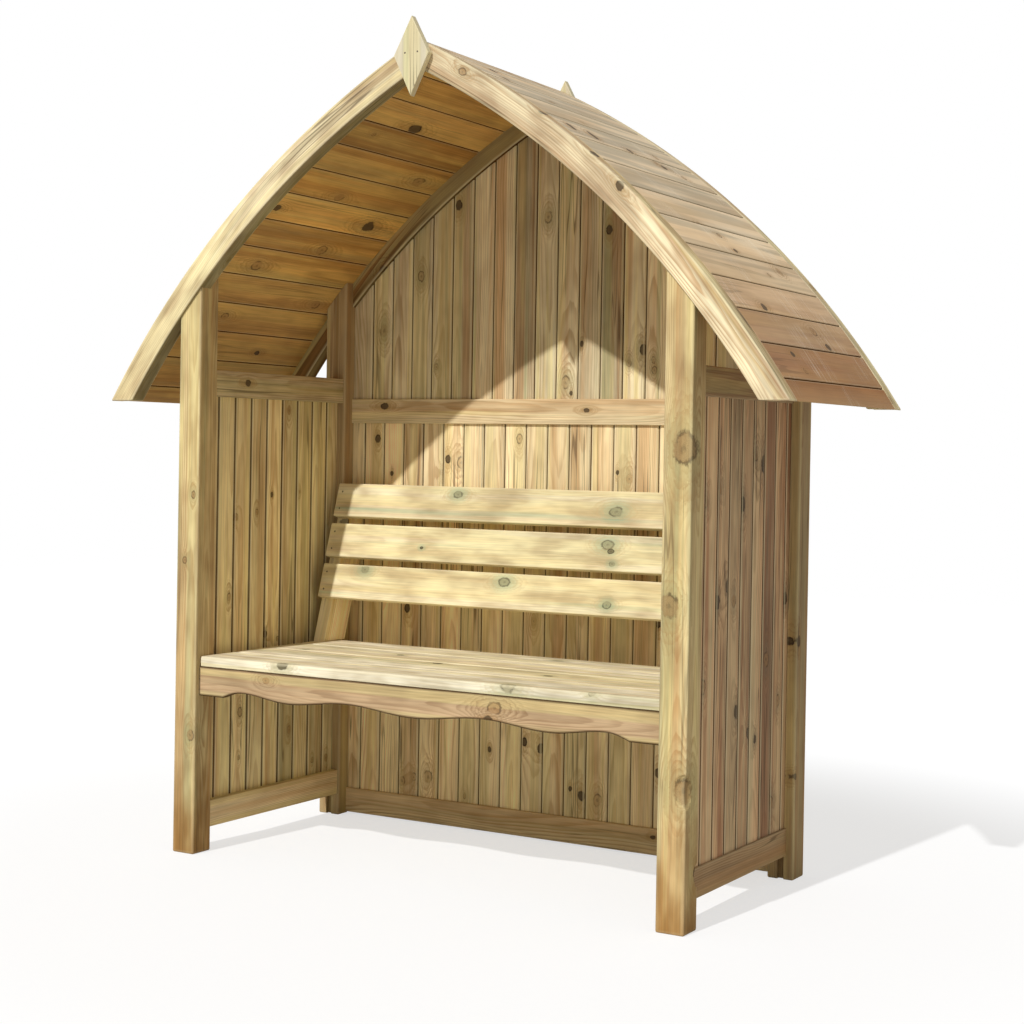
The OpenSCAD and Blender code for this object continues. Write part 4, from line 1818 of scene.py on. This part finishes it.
KNOTS: dict[str, tuple[Knot, ...]] = {
    "front_left_post": at((0.938, 0.019, 0.007), (0.311, 0.020, 0.010), (0.767, -0.007, 0.006), through=-0.035),
    "front_right_post": at(
        (1.078, 0.018, -0.035, 0.025), (0.728, -0.014, -0.035, 0.018), (0.318, 0.034, -0.034, 0.020),
        (0.125, 0.034, 0.034, 0.014, 1),
    ),
    "back_right_post": at((0.602, 0.035, -0.024, 0.010, 1), (0.261, 0.035, -0.030, 0.006, 1)),
    "back_mid_rail": at((-0.555, -0.017, 0.014, 0.009, 1), (0.108, -0.017, 0.004, 0.006, 1)),
    "left_top_rail": at((-0.150, 0.022, 0.005, 0.008, 1)),
    "back_bottom_rail": at((0.330, -0.017, 0.012, 0.005, 1)),
    "front_right_rafter": at(
        (0.141, -0.023, 0.010, 0.008), (0.656, -0.023, 0.020, 0.009, 1), (0.380, -0.010, 0.031, 0.006, 1),
        (0.547, -0.005, 0.031, 0.008, 1),
    ),
    "seat_slat_1": at(
        (-0.399, -0.0685, 0.011, 1), (0.268, -0.0685, 0.013), (0.493, -0.0685, 0.006), through=0.013
    ),
    "seat_slat_2": at((-0.097, 0.050, 0.009, 1), (0.258, 0.0, 0.008, 1), through=0.013),
    "seat_slat_3": at((-0.557, -0.050, 0.008), (-0.279, 0.002, 0.007, 1), through=0.013),
    "seat_slat_4": at((0.120, 0.010, 0.010), through=0.013),
    "seat_apron": at(
        (0.233, -0.011, 0.008, 0.014), (0.216, -0.011, -0.022, 0.009, 1), (-0.450, -0.011, 0.018, 0.008)
    ),
    "back_slat_1": at((-0.256, 0.026, 0.010), (0.244, -0.007, 0.013), through=0.0125),
    "back_slat_2": at(
        (0.234, 0.022, 0.012), (0.246, 0.004, 0.006, 1), (0.255, -0.030, 0.006), (-0.345, -0.012, 0.004, 1),
        through=0.0125,
    ),
    "back_slat_3": at((-0.520, 0.036, 0.010), (-0.060, 0.024, 0.012), (0.258, -0.020, 0.008), through=0.0125),
    "left_panel": at(
        (0.876, -0.168, 0.007), (0.660, -0.191, 0.008), (0.934, -0.013, 0.005, 1), (1.169, 0.058, 0.009),
        (0.549, -0.033, 0.006, 1), (0.531, 0.022, 0.005), (0.346, -0.137, 0.009), (0.222, -0.140, 0.005),
        (0.270, 0.080, 0.008), (0.171, 0.189, 0.006), (0.168, 0.255, 0.008), (0.887, -0.079, 0.006),
        through=-0.008,
    ),
    "right_panel": at(
        (0.990, -0.148, 0.012), (0.945, -0.008, 0.013, 1), (1.066, 0.065, 0.010), (1.045, 0.121, 0.016, 1),
        (0.960, -0.216, 0.011), (0.760, -0.083, 0.011, 1), (0.726, -0.147, 0.012, 1), (0.722, -0.050, 0.011),
        (0.710, 0.267, 0.011, 1), (0.567, 0.150, 0.014), (0.536, -0.214, 0.012), (0.457, -0.024, 0.012, 1),
        (0.398, 0.053, 0.010, 1), (0.379, 0.089, 0.008, 1), (0.456, 0.228, 0.010), (0.207, 0.193, 0.012),
        through=-0.008,
    ),
    "back_lower_panel": at(
        (0.113, -0.479, 0.009), (0.129, -0.438, 0.008), (0.134, -0.389, 0.012), (0.093, -0.265, 0.005),
        (0.232, -0.185, 0.006, 1), (0.264, -0.073, 0.008, 1), (0.251, -0.021, 0.009, 1), (0.151, 0.073, 0.005, 1),
        (0.135, 0.107, 0.010, 1), (0.129, 0.158, 0.011), (0.221, 0.337, 0.008, 1), (1.095, -0.582, 0.008, 1),
        (1.031, -0.294, 0.012), (1.040, -0.338, 0.008, 1), (1.002, -0.359, 0.006), (1.100, -0.105, 0.009),
        (0.997, 0.238, 0.010), (1.013, 0.201, 0.005, 1), (0.610, -0.470, 0.009, 1), (0.600, -0.050, 0.009),
        (0.620, 0.330, 0.010, 1), through=-0.008,
    ),
    "back_gable_panel": at(
        (1.409, -0.566, 0.013), (1.255, 0.038, 0.012), (1.226, 0.055, 0.005, 1), (1.361, 0.086, 0.006, 1),
        (1.341, 0.273, 0.010, 1), (1.306, 0.229, 0.007), (1.314, 0.303, 0.007), (1.286, 0.306, 0.007),
        (1.756, -0.318, 0.010, 1), (1.709, -0.025, 0.011), (1.665, 0.165, 0.009, 1), (1.560, -0.440, 0.010),
        through=-0.008,
    ),
}

# Knots of the roof boards, each with its board's number from the ridge down.
DECK_KNOTS: dict[Side, tuple[tuple[int, Knot], ...]] = {
    Side.LEFT: tuple(zip((2, 4, 5, 6, 6, 7, 8, 9, 10, 11), at(
        (-0.025, 0.080, 0.016, 1), (0.206, 0.060, 0.016), (-0.041, 0.078, 0.013), (0.176, 0.058, 0.018, 1),
        (-0.233, 0.055, 0.010, 1), (0.070, 0.070, 0.014), (-0.137, 0.060, 0.014), (0.217, 0.065, 0.013),
        (-0.126, 0.045, 0.010), (0.101, 0.060, 0.007, 1), through=-0.007,
    ))),
    Side.RIGHT: tuple(zip((8, 8, 11, 11, 12, 12), at(
        (-0.017, 0.080, 0.006, 1), (-0.035, 0.030, 0.007), (0.080, 0.036, 0.012), (0.109, 0.084, 0.009, 1),
        (-0.168, 0.025, 0.007, 1), (-0.154, 0.070, 0.007), through=0.007,
    ))),
}


# ---------------------------------------------------------------- studio


@dataclass
class Studio:
    """Floor, light and camera.

    turn is the camera's, from +Y towards -X; the floor's shadow is to be seen up to clear_from from the
    middle, and has gone at clear_to.
    """

    eye: Spot = (2.443, -3.967, 1.0634)
    turn: float = 0.5396
    pitch: float = -0.0078
    roll: float = 0.0170
    lens: float = 63.52
    shift: tuple[float, float] = (0.0004, -0.0448)
    sun: Spot = (0.072, 0.753, -0.654)
    sun_power: float = 2.7
    sun_spread: float = math.radians(0.9)
    sky: float = 0.37
    floor_half: float = 9.0
    clear_from: float = 1.2
    clear_to: float = 2.4

    def build(self) -> None:
        """Set up the studio."""
        self._floor()
        self._light()
        self._camera()

    def _stand(self, name: str, data: object) -> bpy.types.Object:
        """Put a new object in the scene.

        Args:
            name: its name.
            data: its mesh, lamp or camera.

        Returns:
            The object.
        """
        made = bpy.data.objects.new(name, data)
        bpy.context.scene.collection.objects.link(made)
        return made

    def _floor(self) -> None:
        """A level floor."""
        r = self.floor_half
        mesh = bpy.data.meshes.new("studio_floor")
        mesh.from_pydata([(-r, -r, 0), (r, -r, 0), (r, r, 0), (-r, r, 0)], [], [(0, 1, 2, 3)])
        mesh.materials.append(finish_named("studio_floor", self._paper))
        floor = self._stand("studio_floor", mesh)
        floor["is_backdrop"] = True

    def _paper(self, g: Graph) -> None:
        """Pale for the light, and white to the eye except for the shadow near the arbour.

        Args:
            g: the floor's nodes.
        """
        x, y, _ = g.parts(g.spot())
        clear = g.length(x, y).step(self.clear_from, self.clear_to, 0.62, 1.0)
        paper = g.mix(g.noise(g.spot(), 30.0, 30.0, 2.0).step(0.3, 0.7), "dcd9d2", "e4e1da")
        matt = g.add("ShaderNodeBsdfDiffuse", {"Color": paper}).outputs[0]
        glow = g.add("ShaderNodeEmission", {"Strength": 1.03}).outputs[0]
        seen = g.add("ShaderNodeBsdfDiffuse", {"Color": (1, 1, 1, 1)}).outputs[0]
        shown = g.add("ShaderNodeMixShader", {0: clear, 1: seen, 2: glow}).outputs[0]
        path = g.add("ShaderNodeLightPath").outputs
        g.close(g.add("ShaderNodeMixShader", {0: path["Is Camera Ray"], 1: matt, 2: shown}))

    def _light(self) -> None:
        """A soft key light from the front and above, and an even fill from the world."""
        lamp = bpy.data.lights.new("key", "SUN")
        lamp.energy, lamp.angle = self.sun_power, self.sun_spread
        self._stand("key", lamp).rotation_euler = Vector(self.sun).to_track_quat("-Z", "Y").to_euler()
        world = bpy.data.worlds.new("studio")
        world.use_nodes = True
        bpy.context.scene.world = world
        g = Graph(world.node_tree)
        fill = g.add("ShaderNodeBackground", {"Color": (1.0, 0.96, 0.9, 1.0), "Strength": self.sky}).outputs[0]
        white = g.add("ShaderNodeBackground", {"Color": (1.0, 1.0, 1.0, 1.0), "Strength": 1.0}).outputs[0]
        path = g.add("ShaderNodeLightPath").outputs
        rays = (Num(g, path[f"Is {kind} Ray"]) for kind in ("Camera", "Glossy", "Transmission"))
        mixed = g.add("ShaderNodeMixShader", {0: g.greatest(*rays), 1: fill, 2: white})
        g.add("ShaderNodeOutputWorld", {"Surface": mixed.outputs[0]})

    def _camera(self) -> None:
        """The camera: turned, tipped by the pitch and rolled about its own axis."""
        sine, cosine = math.sin(self.turn), math.cos(self.turn)
        level = math.cos(self.pitch)
        ahead = np.array((-sine * level, cosine * level, math.sin(self.pitch)))
        right = np.array((cosine, sine, 0.0))
        up = np.cross(right, ahead)
        x = math.cos(self.roll) * right + math.sin(self.roll) * up
        y = -math.sin(self.roll) * right + math.cos(self.roll) * up
        data = bpy.data.cameras.new("camera")
        data.lens, data.sensor_width = self.lens, 36.0
        data.shift_x, data.shift_y = self.shift
        camera = self._stand("camera", data)
        turn = Matrix((x, y, -ahead)).transposed().to_4x4()
        camera.matrix_world = Matrix.Translation(self.eye) @ turn
        bpy.context.scene.camera = camera


def write_size(stage: str, sizes: dict[str, object]) -> None:
    """Args:
        stage: when they are taken.
        sizes: the bounds so far, by stage.
    """
    lo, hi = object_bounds()
    sizes[stage] = {"lo": [round(v, 4) for v in lo], "hi": [round(v, 4) for v in hi]}
    log.info("%s: %s", stage, sizes[stage])


def main() -> None:
    """Load the frame, make every piece and set up the studio."""
    logging.basicConfig(level=logging.INFO, format="%(name)s %(message)s")
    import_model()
    sizes: dict[str, object] = {}
    write_size("packed", sizes)
    mill = Sawmill(41)
    rafter, eave = Box.of("front_right_rafter").hi, Box.of("right_roof_deck").lo
    arch = Arch(half=float(rafter[0]), eave=float(eave[2]), apex=float(rafter[2]))
    walls_and_roof = Posts(mill, arch), SidePanels(mill), BackPanel(mill, arch), Roof(mill, arch)
    for part in (*walls_and_roof, Seat(mill), Backrest(mill), Studio()):
        part.build()
    bpy.context.scene.view_settings.view_transform = "Standard"
    write_size("visual", sizes)


if __name__ == "__main__":
    main()
